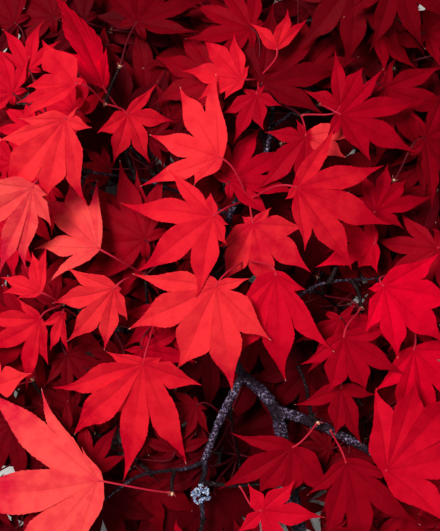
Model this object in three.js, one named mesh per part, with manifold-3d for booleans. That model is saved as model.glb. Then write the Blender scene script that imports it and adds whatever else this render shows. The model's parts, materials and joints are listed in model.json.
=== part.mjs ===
// A cut branch of a japanese maple in autumn leaf, lying on a level surface.
//
// Units are millimetres and +Z is up. +Y runs from the cut end towards the far side of the crown, and +X to
// the right. The origin is on the surface, under the middle of the branch.
//
// The limbs are tapering tubes that fork from each other. Each spray is one solid: a twig that leaves a limb,
// the finer twigs that it sends out, and leaves on stalks. Leaves lie over each other in tiers, as they do on
// a maple: a height map keeps each blade clear above what it covers.
import * as THREE from "three";
import Module from "manifold-3d";

const wasm = await Module();
wasm.setup();

// Sizes of the limbs, twigs and stalks.
const CLEAR = 0.3; // gap between two pieces that touch on the real branch
const SCRAP = 0.5; // volume of a loose scrap that may be dropped
const LEAST_STEP = 0.002; // corners nearer than this would run together
const LIMB_SIDES = 8;
const LIMB_STEP = 11; // length of limb between two rings
const TWIG_SIDES = 3;
const TWIG_RADIUS = [1.3, 0.8]; // at a limb and at its tip
const SIDE_TWIG_RADIUS = [0.95, 0.7];
const STALK_RADIUS = [0.75, 0.65];
const STALK_LENGTH = 27; // from a side twig's tip to the blade
const STALK_REACH = 38; // past this a side twig grows out to the leaf
const STALK_LEAST = 13;
const ROOT = 1.1; // how far a stalk or side twig starts behind the middle of what it grows from
const JOINT_TRIES = 8;
const REACH_COST = 0.6; // faces that a millimetre of reach is worth when a leaf chooses its twig
const STALK_BOW = 0.12; // how far a stalk bows, as a share of its length

// The blade of a full leaf, as shares of its middle lobe's length.
const BLADE_THICK = 0.026;
const BLADE_SAG = 0.08; // how far the lobes' tips hang below the blade's middle
const LOBES = [
  { turn: 128, reach: 0.36, shoulder: [0.2, 0.062] },
  { turn: 73, reach: 0.8, shoulder: [0.52, 0.105] },
  { turn: 36, reach: 0.97, shoulder: [0.63, 0.128] },
  { turn: 0, reach: 1.0, shoulder: [0.64, 0.13] },
];
const CLEFTS = [
  { turn: 101, reach: 0.17 },
  { turn: 54.5, reach: 0.36 },
  { turn: 18, reach: 0.44 },
];
const HEEL = 0.05; // the notch where the stalk meets the blade
const THICKEST = 0.1; // where the blade is thickest, along the middle lobe
const STALK_END = 0.06; // where the stalk ends inside the blade
const BLADE_MIDDLE = 0.4;

// Room that each leaf keeps.
const CELL = 2.5; // size of a height map's cell
const LAP_GAP = 2.6; // height from a blade to what it lies over
const HALF_MAP = 230;
const UNDER_CEILING = 50; // the lower tiers stay below the limbs
const MOST_COVERED = 0.45; // a middle leaf is left out where facing leaves cover more of it than this
const MIDDLE_CEILING = 84;

// The changes of pitch and roll, in degrees, that let a leaf lie on what is under it.
const LEANS = [-12, -6, 0, 6, 12].flatMap((pitch) => [-12, 0, 12].map((roll) => [pitch, roll]));
const LEAN_COST = 0.12; // height that a degree of change must save

// The crown's outline: how far out leaves are set, and how square its corners are.
const CROWN = { middle: [0, 4], half: [124, 146], squareness: 2.6 };
const GOLDEN_TURN = Math.PI * (3 - Math.sqrt(5));
const TIERS = [
  { under: true, count: 24, height: 0, spin: 0.4, length: [44, 56] },
  { under: true, count: 20, height: 17, spin: 2.3, length: [44, 56] },
  { under: false, count: 44, height: 62, spin: 4.0, length: [36, 50] },
];
const RULE = {
  seed: 20261,
  pitch: [0, 14],
  roll: 8,
  swing: 38, // how far a leaf turns from its rule heading, in degrees
  outward: 0.8, // pull outwards, against a pull of 1 along -Y
  scatter: 7,
  tries: 4,
  retryTurn: 47,
};

// Each limb: its route, its radius at both ends, and whether it shows bare between the leaves.
const LIMBS = {
  main_stem: {
    route: [[52, -198, 6], [45, -152, 20], [36, -108, 37], [29.5, -77, 48], [22, -67, 51], [12, -58, 54]],
    radii: [4.3, 3.0],
    bareFrom: -95,
  },
  leader_bough: {
    route: [
      [12, -58, 54], [6.5, -46, 56], [5, -17, 58], [4, 22, 58],
      [11, 38, 58], [24, 59, 56], [27, 74, 54], [29, 112, 48],
    ],
    radii: [2.8, 1.0],
  },
  left_bough: {
    route: [[12, -58, 54], [0, -81, 56], [-5.5, -95, 57], [-8.5, -103, 57]],
    radii: [2.3, 1.8],
    bareFrom: -133,
  },
  right_bough: {
    route: [[29.5, -77, 48], [46, -82, 52], [61, -88, 55], [83, -100, 57]],
    radii: [2.6, 1.6],
    bareFrom: -133,
  },
  low_left_bough: {
    route: [[-8.5, -103, 57], [-17, -106.5, 56], [-42, -111, 53], [-62.5, -125, 50]],
    radii: [1.5, 0.9],
    bareFrom: -133,
  },
  low_bough: {
    route: [[-8.5, -103, 57], [-8, -109, 56], [-10, -115, 55], [-9, -134, 50]],
    radii: [1.5, 1.1],
    bareFrom: -133,
  },
  right_side_bough: {
    route: [[5.6, -30, 57.3], [24, -24, 54], [39, -17.5, 52], [54.5, -9.5, 51], [81.5, -7, 50]],
    radii: [1.5, 1.0],
    bareFrom: -133,
  },
  left_side_bough: {
    route: [[6, -38, 56.7], [-8, -38, 53], [-27, -37.5, 50], [-47.5, -35.5, 48], [-68.5, -33, 46]],
    radii: [1.3, 0.9],
  },
  upper_left_bough: {
    route: [[5.5, 26, 58], [-20, 38, 55], [-42.5, 45.5, 53], [-68.5, 49.5, 50]],
    radii: [1.3, 0.9],
  },
  upper_right_bough: {
    route: [[27, 73, 54.2], [32, 76, 56], [38, 80.5, 57]],
    radii: [1.2, 0.9],
  },
};

// Each spray: the way its twig takes from the limb's middle line outwards. Under sprays carry the lower tiers.
const SPRAYS = {
  crown_spray: { path: [[6.5, 31, 58], [12, 33.5, 62], [15, 34.5, 64]] },
  middle_spray: { path: [[4.4, 4, 58], [9, 5, 63], [13, 3, 65]] },
  top_middle_spray: { path: [[27.8, 86, 52.4], [24, 89, 57], [20, 97, 60]] },
  top_right_spray: { path: [[38.2, 80.7, 57], [42.5, 78.5, 59], [52, 84, 60]] },
  top_edge_spray: { path: [[29.1, 112.2, 48], [42, 127, 50], [58, 134, 52]] },
  top_left_spray: { path: [[-44, 45.8, 52.8], [-49, 58, 56], [-50, 78, 60]] },
  upper_left_spray: { path: [[-68.7, 49.5, 50], [-78, 53, 54], [-84, 62, 56]] },
  left_middle_spray: { path: [[-35, -36.8, 49.2], [-38, -20.5, 54], [-39, -5, 58]] },
  left_spray: { path: [[-68.7, -33, 46], [-75, -27, 52], [-77, -23, 56]] },
  low_left_spray: { path: [[-31, -37.2, 49.6], [-32.5, -32, 55], [-33.5, -28.5, 60]] },
  corner_left_spray: { path: [[-24, -107.8, 55], [-25, -113, 60], [-25, -118, 63]] },
  far_low_left_spray: { path: [[-62.7, -125.2, 50], [-76, -130, 51], [-88, -122, 53]] },
  foot_spray: { path: [[-9, -134.2, 50], [-10, -146, 48], [-4, -155, 48]] },
  low_middle_spray: { path: [[-9.8, -114.4, 55.1], [10, -116, 54], [37, -113.5, 54]] },
  crotch_spray: { path: [[47, -82.3, 52.2], [49, -80, 57], [51, -82, 60]] },
  low_right_spray: { path: [[83.2, -100.1, 57], [90, -106, 60], [98, -118, 60]] },
  right_spray: { path: [[82.4, -7.4, 50.2], [94, -4, 53], [106, 3, 55]] },
  right_middle_spray: { path: [[70, -8, 50.4], [73, -14, 54], [74, -22, 58]] },
  upper_right_spray: { path: [[58, -9.2, 50.9], [66, 8, 53], [76, 24, 55]] },
  under_left_spray: { under: true, path: [[-50, -35.3, 47.8], [-58, -32, 38], [-66, -24, 28]] },
  under_middle_spray: { under: true, path: [[4.6, -8, 58], [-2, -4, 44], [-8, 4, 30]] },
  under_right_spray: { under: true, path: [[48, -12.8, 51.4], [56, -16, 40], [64, -22, 28]] },
  under_top_spray: { under: true, path: [[24.6, 61, 55.8], [22, 72, 42], [24, 84, 28]] },
  under_top_left_spray: { under: true, path: [[-30, 41.3, 54.2], [-38, 52, 42], [-50, 66, 28]] },
  under_top_right_spray: { under: true, path: [[28.6, 104, 49.3], [42, 98, 40], [66, 92, 28]] },
  under_low_right_spray: { under: true, path: [[66, -90.6, 55.6], [72, -88, 42], [80, -84, 28]] },
  under_low_left_spray: { under: true, path: [[-36, -110.1, 53.8], [-46, -104, 42], [-58, -96, 28]] },
  under_foot_spray: { under: true, path: [[5, -71.6, 55.1], [6, -84, 42], [10, -104, 28]] },
};

// The leaves that face upwards on top, lowest first: spray, place of the blade's heel in x and y, heading in
// degrees from +X, length of the middle lobe, pitch (tip down), roll (left side up), lift above the twig's end.
const FACING_LEAVES = [
  ["right_spray", 113, 9, -150, 37, 14, 12, 6],
  ["upper_right_spray", 80, 11, -152, 38, 12, -6, 4],
  ["upper_right_spray", 80, 28, 58, 31, 8, 8, 6],
  ["top_right_spray", 62, 82, 75, 32, 6, 0, 4],
  ["right_middle_spray", 63, -64, -90, 31, 10, 0, 0],
  ["crotch_spray", 37.5, -94.5, -157, 45, 8, 8, 2],
  ["low_middle_spray", 22, -127, 32, 32, 6, 6, 4],
  ["left_spray", -94, -28, -108, 38, 12, 10, 4],
  ["left_spray", -81, -24.5, -88, 21, 14, 0, 4],
  ["right_spray", 101, -44, -110, 46, 12, -8, 6],
  ["right_middle_spray", 63, -36.5, -92, 39, 12, -6, 6],
  ["top_left_spray", -47.5, 78, -55, 32, 12, -12, 8],
  ["top_left_spray", -60, 92, 118, 48, 4, 34, 12],
  ["top_right_spray", 44, 66, -86, 41, 12, 14, 8],
  ["top_right_spray", 61, 76.5, -27, 44, 12, 4, 10],
  ["top_middle_spray", 18.5, 87.5, -112, 30, 12, 0, 8],
  ["top_middle_spray", 29, 111, 105, 25, 4, 22, 14],
  ["top_middle_spray", 11, 95, 175, 31, 8, 8, 12],
  ["top_left_spray", -71, 89, 176, 36, 12, 10, 14],
  ["upper_left_spray", -75, 70.5, -134, 45, 14, -6, 14],
  ["left_middle_spray", -62, 9, 152, 38, 6, 26, 14],
  ["upper_left_spray", -92, 38, -114, 43, 16, -4, 14],
  ["left_spray", -89, -13, 160, 27, 6, 20, 12],
  ["left_middle_spray", -53, -11.5, -131, 36, 12, -4, 14],
  ["crown_spray", -0.5, 55, 160, 42, 8, 6, 10],
  ["crown_spray", 17, 21.5, -74, 40, 12, 4, 8],
  ["middle_spray", 28, -5, -85, 52, 14, 14, 10],
  ["middle_spray", -2, -10.5, -116, 52, 12, -4, 12],
  ["crown_spray", -3.5, 24.5, -145, 47, 12, -8, 14],
  ["crown_spray", 38, 38.5, -20, 50, 12, 2, 12],
  ["right_spray", 82.5, -10.5, -44, 47, 12, 0, 12],
  ["low_left_spray", -39, -50, -100, 57, 14, 0, 14],
  ["low_middle_spray", 64.5, -101, -74, 48, 12, 0, 8],
  ["low_right_spray", 85, -104, 25, 52, 6, -8, 12],
  ["corner_left_spray", -62.5, -110, 174, 62, 2, 4, 9],
  ["far_low_left_spray", -116, -62, 40, 36, 6, 10, 10],
  ["foot_spray", -18, -146, -104, 41, 8, 0, 4],
  ["top_edge_spray", 68, 146, -90, 46, 16, 6, 10],
  ["top_edge_spray", 88, 146, -68, 42, 14, -6, 12],
];

// A run of numbers from a seed, each from 0 to 1.
function seededRun(seed) {
  let state = seed;
  return () => {
    state = (Math.imul(state, 1664525) + 1013904223) >>> 0;
    return state / 4294967296;
  };
}

const radians = (degrees) => (degrees * Math.PI) / 180;
const polar = ({ turn, reach }) => [reach * Math.cos(radians(turn)), reach * Math.sin(radians(turn))];

// The blade's outline, as shares of its length, counterclockwise from the heel: u runs along the middle lobe.
function bladeOutline(shouldered) {
  const half = [];
  LOBES.forEach((lobe, index) => {
    const axis = radians(lobe.turn);
    const [along, aside] = lobe.shoulder;
    const at = (s, t) => [s * Math.cos(axis) - t * Math.sin(axis), s * Math.sin(axis) + t * Math.cos(axis)];
    if (shouldered) half.push(at(along, aside));
    half.push(polar(lobe));
    if (shouldered && lobe.turn > 0) half.push(at(along, -aside));
    if (lobe.turn > 0) half.push(polar(CLEFTS[index]));
  });
  const tip = half.pop();
  const mirrored = half.map(([u, v]) => [u, -v]);
  return [[-HEEL, 0], ...mirrored, tip, ...half.reverse()];
}

const OUTLINE = bladeOutline(true);
const PLAIN_OUTLINE = bladeOutline(false); // for the leaves that don't face upwards on top

// How far the outline reaches from the stalk's end, for each whole degree.
const REACH = Array.from({ length: 360 }, (_, degree) => {
  const ray = [Math.cos(radians(degree)), Math.sin(radians(degree))];
  let reach = 0;
  OUTLINE.forEach(([ua, va], index) => {
    const [ub, vb] = OUTLINE[(index + 1) % OUTLINE.length];
    const before = ray[0] * va - ray[1] * ua;
    const after = ray[0] * vb - ray[1] * ub;
    const middle = (ua + ub) * ray[0] + (va + vb) * ray[1];
    if (before <= 0 && after > 0 && middle > 0) {
      reach = (ua * vb - ub * va) / ((vb - va) * ray[0] - (ub - ua) * ray[1]);
    }
  });
  return reach;
});

// The blade's own axes: along its middle lobe, to its left, and out of its upper face.
function bladeAxes(leaf) {
  const [turn, dip, roll] = [radians(leaf.heading), radians(leaf.pitch), radians(leaf.roll)];
  const level = Math.cos(dip);
  const along = new THREE.Vector3(Math.cos(turn) * level, Math.sin(turn) * level, -Math.sin(dip));
  const aside = new THREE.Vector3(-Math.sin(turn), Math.cos(turn), 0).applyAxisAngle(along, roll);
  return { along, aside, face: new THREE.Vector3().crossVectors(along, aside) };
}

// How far the blade sags at a distance from its heel.
const sag = (distance, length) => (-BLADE_SAG * distance * distance) / length;

// Height maps: the top of what has been laid down so far, and the lowest underside of the limbs above. The
// other two maps mark where a limb shows bare, and where the facing leaves will lie.
const MAP_SIDE = Math.ceil((2 * HALF_MAP) / CELL);
const laidTop = new Float64Array(MAP_SIDE * MAP_SIDE).fill(-HALF_MAP);
const limbUnderside = new Float64Array(MAP_SIDE * MAP_SIDE).fill(UNDER_CEILING);
const limbShows = new Uint8Array(MAP_SIDE * MAP_SIDE);
const facingCover = new Uint8Array(MAP_SIDE * MAP_SIDE);
const cellOf = (value) => Math.floor((value + HALF_MAP) / CELL);
const middleOf = (cell) => (cell + 0.5) * CELL - HALF_MAP;

// The cells that a leaf covers, each with the blade's height there above its heel.
function footprint(leaf) {
  const { along, aside, face } = bladeAxes(leaf);
  const spread = along.x * aside.y - aside.x * along.y;
  const cells = [];
  const [x0, y0] = [cellOf(leaf.x - leaf.length), cellOf(leaf.y - leaf.length)];
  const [x1, y1] = [cellOf(leaf.x + leaf.length), cellOf(leaf.y + leaf.length)];
  for (let row = y0; row <= y1; row++) {
    for (let column = x0; column <= x1; column++) {
      const [dx, dy] = [middleOf(column) - leaf.x, middleOf(row) - leaf.y];
      const u = (dx * aside.y - aside.x * dy) / spread;
      const v = (along.x * dy - dx * along.y) / spread;
      const distance = Math.hypot(u, v);
      const degree = (Math.round((Math.atan2(v, u) * 180) / Math.PI) + 360) % 360;
      if (distance > REACH[degree] * leaf.length + CELL / 2) continue;
      const height = u * along.z + v * aside.z + sag(distance, leaf.length) * face.z;
      cells.push([row * MAP_SIDE + column, height]);
    }
  }
  return cells;
}

// How low a leaf can lie: its own wished height, the surface and what has been laid under it keep it up.
function restingHeight(leaf, cells) {
  const { along, aside, face } = bladeAxes(leaf);
  let height = leaf.height;
  for (const [u, v] of OUTLINE) {
    const droop = sag(Math.hypot(u, v), 1) * face.z;
    height = Math.max(height, -(u * along.z + v * aside.z + droop) * leaf.length);
  }
  for (const [cell, rise] of cells) height = Math.max(height, laidTop[cell] - rise + LAP_GAP);
  return height;
}

// Lays a leaf as low as it can lie, with the lean that suits its place. Returns whether there is room.
function settle(leaf) {
  let best = null;
  for (const [pitch, roll] of LEANS) {
    const leant = { ...leaf, pitch: leaf.pitch + pitch, roll: leaf.roll + roll };
    const cells = footprint(leant);
    const z = restingHeight(leant, cells);
    const middle = z + cells.reduce((sum, [, rise]) => sum + rise, 0) / cells.length;
    const cost = middle + LEAN_COST * (Math.abs(pitch) + Math.abs(roll));
    if (!best || cost < best.cost) best = { ...leant, z, cells, cost };
  }
  const { cells, z } = best;
  if (leaf.under && cells.some(([cell, rise]) => z + rise > limbUnderside[cell])) return false;
  if (!leaf.facing && !leaf.under) {
    if (z > MIDDLE_CEILING || cells.some(([cell]) => limbShows[cell])) return false;
    if (cells.filter(([cell]) => facingCover[cell]).length > MOST_COVERED * cells.length) return false;
  }
  for (const [cell, rise] of cells) laidTop[cell] = Math.max(laidTop[cell], z + rise);
  Object.assign(leaf, { z, pitch: best.pitch, roll: best.roll });
  return true;
}

// A smooth curve through a list of points.
const smoothCurve = (points) => new THREE.CatmullRomCurve3(points, false, "centripetal");
const curveThrough = (places) => smoothCurve(places.map((place) => new THREE.Vector3(...place)));

// Enters a limb or twig in the height maps.
function enterInMaps(points, radii, { bareFrom = Infinity, over = true, beneath = true } = {}) {
  const curve = curveThrough(points);
  const steps = Math.ceil(curve.getLength() / CELL);
  for (let step = 0; step <= steps; step++) {
    const at = curve.getPointAt(step / steps);
    const radius = radii[0] + ((radii[1] - radii[0]) * step) / steps;
    const room = radius + CELL / 2;
    for (let column = cellOf(at.x - room); column <= cellOf(at.x + room); column++) {
      for (let row = cellOf(at.y - room); row <= cellOf(at.y + room); row++) {
        const cell = row * MAP_SIDE + column;
        if (over) laidTop[cell] = Math.max(laidTop[cell], at.z + radius);
        if (beneath) limbUnderside[cell] = Math.min(limbUnderside[cell], at.z - radius - LAP_GAP);
        if (at.y > bareFrom && bareFrom > -Infinity) limbShows[cell] = 1;
      }
    }
  }
}

// The level direction in which a place lies from the nearest end of a spray's own twig.
function awayFromTwig(x, y, under) {
  const twigEnds = Object.values(SPRAYS)
    .filter((spray) => Boolean(spray.under) === under)
    .map(({ path }) => new THREE.Vector2(x - path[path.length - 1][0], y - path[path.length - 1][1]));
  return twigEnds.reduce((best, away) => (away.length() < best.length() ? away : best)).normalize();
}

// The leaves that the seeded rule gives: tier by tier, turned by the golden angle, so the crown is even.
function ruleLeaves() {
  const random = seededRun(RULE.seed);
  const between = ([low, high]) => low + (high - low) * random();
  const either = (size) => size * (2 * random() - 1);
  const leaves = [];
  for (const tier of TIERS) {
    for (let n = 0; n < tier.count; n++) {
      const angle = n * GOLDEN_TURN + tier.spin;
      const [cos, sin] = [Math.cos(angle), Math.sin(angle)];
      const power = CROWN.squareness;
      const square = (Math.abs(cos) ** power + Math.abs(sin) ** power) ** (-1 / power);
      const out = Math.sqrt((n + 0.5) / tier.count) * square;
      const x = CROWN.middle[0] + CROWN.half[0] * out * cos + either(RULE.scatter);
      const y = CROWN.middle[1] + CROWN.half[1] * out * sin + either(RULE.scatter);
      const away = awayFromTwig(x, y, tier.under);
      const pull = [RULE.outward * cos * out + away.x, RULE.outward * sin * out + away.y - 1];
      const heading = (Math.atan2(pull[1], pull[0]) * 180) / Math.PI + either(RULE.swing);
      const length = between(tier.length);
      leaves.push({
        // The heel is set back from its place, so that the blade's middle lies there.
        x: x - BLADE_MIDDLE * length * Math.cos(radians(heading)),
        y: y - BLADE_MIDDLE * length * Math.sin(radians(heading)),
        heading,
        length,
        pitch: between(RULE.pitch),
        roll: either(RULE.roll),
        under: tier.under,
        height: tier.height,
      });
    }
  }
  return leaves;
}

// Settles every leaf: the lower tiers, the limbs and twigs over them, the middle tier and the facing leaves.
function settleLeaves() {
  for (const { route, radii, bareFrom } of Object.values(LIMBS)) {
    enterInMaps(route, radii, { bareFrom, over: false });
  }
  for (const { path } of Object.values(SPRAYS)) enterInMaps(path, TWIG_RADIUS, { over: false });
  const tryTurns = (leaf) => {
    for (let attempt = 0; attempt < RULE.tries; attempt++) {
      if (settle(leaf)) return true;
      leaf.heading += RULE.retryTurn;
    }
    return false;
  };
  const facing = FACING_LEAVES.map(([spray, x, y, heading, length, pitch, roll, lift]) => {
    const end = SPRAYS[spray].path[SPRAYS[spray].path.length - 1];
    return { spray, x, y, heading, length, pitch, roll, facing: true, height: end[2] + lift };
  });
  for (const leaf of facing) for (const [cell] of footprint(leaf)) facingCover[cell] = 1;
  const ruled = ruleLeaves();
  const under = ruled.filter((leaf) => leaf.under && tryTurns(leaf));
  for (const { route, radii } of Object.values(LIMBS)) enterInMaps(route, radii, { beneath: false });
  for (const { path } of Object.values(SPRAYS)) enterInMaps(path, TWIG_RADIUS, { beneath: false });
  const middle = ruled.filter((leaf) => !leaf.under && tryTurns(leaf));
  facing.forEach(settle);
  return [...facing.reverse(), ...middle, ...under];
}

// The ways in which a leaf can join a spray, best first: a stalk from a twig's end, or from the tip of a side
// twig that grows out to the leaf. A facing leaf looks to its own spray first.
function waysToJoin(leaf, ends) {
  const heel = new THREE.Vector3(leaf.x, leaf.y, leaf.z);
  const cost = ({ at, spray }) => {
    const away = at.distanceTo(heel);
    const tooNear = away < STALK_LEAST ? STALK_REACH : 0;
    return away + tooNear + (leaf.facing && spray !== leaf.spray ? HALF_MAP : 0);
  };
  const open = ends.filter(({ spray }) => Boolean(SPRAYS[spray].under) === Boolean(leaf.under));
  const nearest = open.sort((a, b) => cost(a) - cost(b)).slice(0, JOINT_TRIES);
  return nearest.map(({ at, spray }) => {
    const away = at.distanceTo(heel);
    const tip = away > STALK_REACH ? heel.clone().lerp(at, STALK_LENGTH / away) : null;
    return { spray, from: at, tip, away };
  });
}

// A closed three.js geometry as a manifold solid.
function solidOf(geometry) {
  const vertProperties = new Float32Array(geometry.getAttribute("position").array);
  const triVerts = new Uint32Array(geometry.index.array);
  return new wasm.Manifold(new wasm.Mesh({ numProp: 3, vertProperties, triVerts }));
}

// A solid back as a three.js geometry.
function geometryOf(solid) {
  const mesh = solid.getMesh();
  const positions = new Float32Array(mesh.numVert * 3);
  for (let vertex = 0; vertex < mesh.numVert; vertex++) {
    const first = vertex * mesh.numProp;
    positions.set(mesh.vertProperties.subarray(first, first + 3), vertex * 3);
  }
  const geometry = new THREE.BufferGeometry();
  geometry.setAttribute("position", new THREE.BufferAttribute(positions, 3));
  geometry.setIndex(new THREE.BufferAttribute(mesh.triVerts, 1));
  geometry.computeVertexNormals();
  return geometry;
}

// Whether two of a solid's corners would run together.
function hasCloseCorners(solid) {
  const { numVert, numProp, vertProperties } = solid.getMesh();
  const cornerAt = (n) => new THREE.Vector3().fromArray(vertProperties, n * numProp);
  const corners = Array.from({ length: numVert }, (_, n) => cornerAt(n)).sort((a, b) => a.x - b.x);
  return corners.some((corner, n) => {
    for (let next = n + 1; next < numVert && corners[next].x - corner.x < LEAST_STEP; next++) {
      if (corners[next].distanceTo(corner) < LEAST_STEP) return true;
    }
    return false;
  });
}

// The largest of a solid's bodies, without loose scraps or sealed hollows.
const larger = (a, b) => (b.volume() > a.volume() ? b : a);
const largestOf = (solid) => solid.decompose().reduce(larger);

// Two solids as one body, or null where they don't truly meet.
function fused(a, b) {
  const whole = a.add(b);
  const body = largestOf(whole);
  return body.volume() < whole.volume() - SCRAP || hasCloseCorners(body) ? null : body;
}

// A tube along a curve that tapers evenly from one radius to another. A bent one has its rings at the curve's
// own points, and otherwise they are evenly spaced.
function taperedTube(curve, radii, steps, sides, bent = false) {
  const frames = curve.computeFrenetFrames(steps);
  const positions = [];
  const faces = [];
  for (let step = 0; step <= steps; step++) {
    const at = bent ? curve.getPoint(step / steps) : curve.getPointAt(step / steps);
    const radius = radii[0] + ((radii[1] - radii[0]) * step) / steps;
    for (let side = 0; side < sides; side++) {
      const turn = (2 * Math.PI * side) / sides;
      const rim = frames.normals[step].clone().multiplyScalar(radius * Math.cos(turn));
      rim.addScaledVector(frames.binormals[step], radius * Math.sin(turn)).add(at);
      positions.push(rim.x, rim.y, rim.z);
    }
  }
  for (let step = 0; step < steps; step++) {
    for (let side = 0; side < sides; side++) {
      const [a, b] = [step * sides + side, step * sides + ((side + 1) % sides)];
      faces.push(a, b, b + sides, a, b + sides, a + sides);
    }
  }
  const last = steps * sides;
  for (let side = 1; side < sides - 1; side++) {
    faces.push(0, side + 1, side, last, last + side, last + side + 1);
  }
  const geometry = new THREE.BufferGeometry();
  geometry.setAttribute("position", new THREE.Float32BufferAttribute(positions, 3));
  geometry.setIndex(faces);
  return solidOf(geometry);
}

// A limb's solid, or with a margin the room round it that nothing else may enter.
function limbSolid({ route, radii }, margin = 0) {
  const points = route.map((point) => new THREE.Vector3(...point));
  if (margin > 0) {
    const [before, tip] = points.slice(-2);
    const beyond = tip.clone().sub(before).setLength(margin);
    points.push(tip.clone().add(beyond));
  }
  const curve = smoothCurve(points);
  const steps = Math.ceil(curve.getLength() / LIMB_STEP);
  return taperedTube(curve, [radii[0] + margin, radii[1] + margin], steps, LIMB_SIDES);
}

// A blade: two fans over one outline, thickest near the heel and sharp at the rim, with lobes that hang.
function bladeSolid(leaf) {
  const { along, aside, face } = bladeAxes(leaf);
  const heel = new THREE.Vector3(leaf.x, leaf.y, leaf.z);
  const axes = new THREE.Matrix4().makeBasis(along, aside, face).setPosition(heel);
  const point = (u, v, w) => new THREE.Vector3(u, v, w).applyMatrix4(axes);
  const half = (BLADE_THICK * leaf.length) / 2;
  const outline = leaf.facing ? OUTLINE : PLAIN_OUTLINE;
  const rim = outline.map(([u, v]) => [u * leaf.length, v * leaf.length]);
  const points = rim.map(([u, v]) => point(u, v, sag(Math.hypot(u, v), leaf.length)));
  const crown = THICKEST * leaf.length;
  points.push(point(crown, 0, half), point(crown, 0, -half));
  const [top, bottom] = [rim.length, rim.length + 1];
  const faces = rim.flatMap((_, index) => {
    const next = (index + 1) % rim.length;
    return [index, next, top, next, index, bottom];
  });
  const geometry = new THREE.BufferGeometry().setFromPoints(points);
  geometry.setIndex(faces);
  return solidOf(geometry);
}

// A leaf with the stalk, or side twig and stalk, that joins it to its spray.
function leafSolid(leaf, { from, tip }) {
  const { along, face } = bladeAxes(leaf);
  const heel = new THREE.Vector3(leaf.x, leaf.y, leaf.z).addScaledVector(along, -HEEL * leaf.length);
  heel.addScaledVector(face, (-BLADE_THICK * leaf.length) / 4);
  const sunk = heel.clone().addScaledVector(along, (HEEL + STALK_END) * leaf.length);
  const bow = from.clone().lerp(heel, 0.5);
  bow.z += STALK_BOW * from.distanceTo(heel);
  const bends = tip ? [tip, heel, sunk] : leaf.under ? [heel, sunk] : [bow, heel, sunk];
  const back = from.clone().sub(bends[0]).setLength(ROOT);
  const route = smoothCurve([from.clone().add(back), ...bends]);
  const radii = tip ? SIDE_TWIG_RADIUS : STALK_RADIUS;
  return bladeSolid(leaf).add(taperedTube(route, radii, bends.length, TWIG_SIDES, true));
}

// Whether two solids' boxes come within the clearance of each other.
const boxesMeet = (a, b) =>
  [0, 1, 2].every((axis) => a.min[axis] < b.max[axis] + CLEAR && b.min[axis] < a.max[axis] + CLEAR);

// Builds the limbs in order, each trimmed where it leaves the ones before it.
function buildLimbs() {
  const limbs = {};
  const rooms = [];
  for (const [name, limb] of Object.entries(LIMBS)) {
    const solid = rooms.reduce((rest, room) => rest.subtract(room), limbSolid(limb));
    limbs[name] = largestOf(solid);
    rooms.push(limbSolid(limb, CLEAR));
  }
  return { limbs, rooms };
}

// Builds the sprays. A leaf that would touch a limb or another spray however it is joined is left out.
function buildSprays(rooms, leaves) {
  const pieces = [];
  const ends = [];
  const sprays = {};
  const place = (spray, solid) => pieces.push({ spray, solid, box: solid.boundingBox() });
  for (const [name, { path }] of Object.entries(SPRAYS)) {
    const twig = taperedTube(curveThrough(path), TWIG_RADIUS, 2 * (path.length - 1), TWIG_SIDES);
    sprays[name] = largestOf(rooms.reduce((rest, room) => rest.subtract(room), twig));
    place(name, sprays[name]);
    for (const point of path.slice(1)) ends.push({ spray: name, at: new THREE.Vector3(...point) });
  }
  const limbRooms = rooms.map((room) => ({ solid: room, box: room.boundingBox() }));
  const blocked = (solid, spray) => {
    const box = solid.boundingBox();
    const near = (piece) => boxesMeet(piece.box, box);
    const others = pieces.filter((piece) => piece.spray !== spray && near(piece));
    return (
      limbRooms.some((room) => near(room) && !room.solid.intersect(solid).isEmpty()) ||
      others.some((piece) => piece.solid.minGap(solid, CLEAR) < CLEAR)
    );
  };
  for (const leaf of leaves) {
    let best = null;
    for (const joint of waysToJoin(leaf, ends)) {
      if (best && leaf.facing && joint.spray !== leaf.spray) break;
      const solid = leafSolid(leaf, joint);
      if (blocked(solid, joint.spray)) continue;
      const joined = fused(sprays[joint.spray], solid);
      if (!joined) continue;
      // A stalk that pierces no other leaf adds the fewest faces.
      const cost = joined.numTri() - sprays[joint.spray].numTri() + REACH_COST * joint.away;
      if (!best || cost < best.cost) best = { joint, solid, joined, cost };
    }
    if (!best) continue;
    const { spray, tip } = best.joint;
    sprays[spray] = best.joined;
    place(spray, best.solid);
    if (tip) ends.push({ spray, at: tip });
  }
  return sprays;
}

const BARK = new THREE.MeshStandardMaterial({ color: 0x33222b, roughness: 0.75, metalness: 0 });
const SCARLET = new THREE.MeshStandardMaterial({ color: 0xd81d30, roughness: 0.55, metalness: 0 });
const DEEP_RED = new THREE.MeshStandardMaterial({ color: 0x84071b, roughness: 0.6, metalness: 0 });

const leaves = settleLeaves();
const { limbs, rooms } = buildLimbs();
const sprays = buildSprays(rooms, leaves);

const branch = new THREE.Group();
function addPiece(name, solid, material) {
  const mesh = new THREE.Mesh(geometryOf(solid), material);
  mesh.name = name;
  branch.add(mesh);
}
for (const [name, solid] of Object.entries(limbs)) addPiece(name, solid, BARK);
for (const [name, solid] of Object.entries(sprays)) {
  addPiece(name, solid, SPRAYS[name].under ? DEEP_RED : SCARLET);
}

// The branch is set down with the middle of its underside at the origin.
const reach = new THREE.Box3().setFromObject(branch, true);
const middle = reach.getCenter(new THREE.Vector3());
branch.position.set(-middle.x, -middle.y, -reach.min.z);

export default branch;
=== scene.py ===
"""A cut branch of a japanese maple in red autumn leaf, lying on a level surface.

Lengths are worked out in millimetres in the branch's own frame, as in the solids' source, and are turned into
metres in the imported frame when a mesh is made. +Y runs from the cut end to the far side of the crown.
"""

import json
import logging
import math
from dataclasses import dataclass, field, replace
from enum import Enum
from itertools import product

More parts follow.
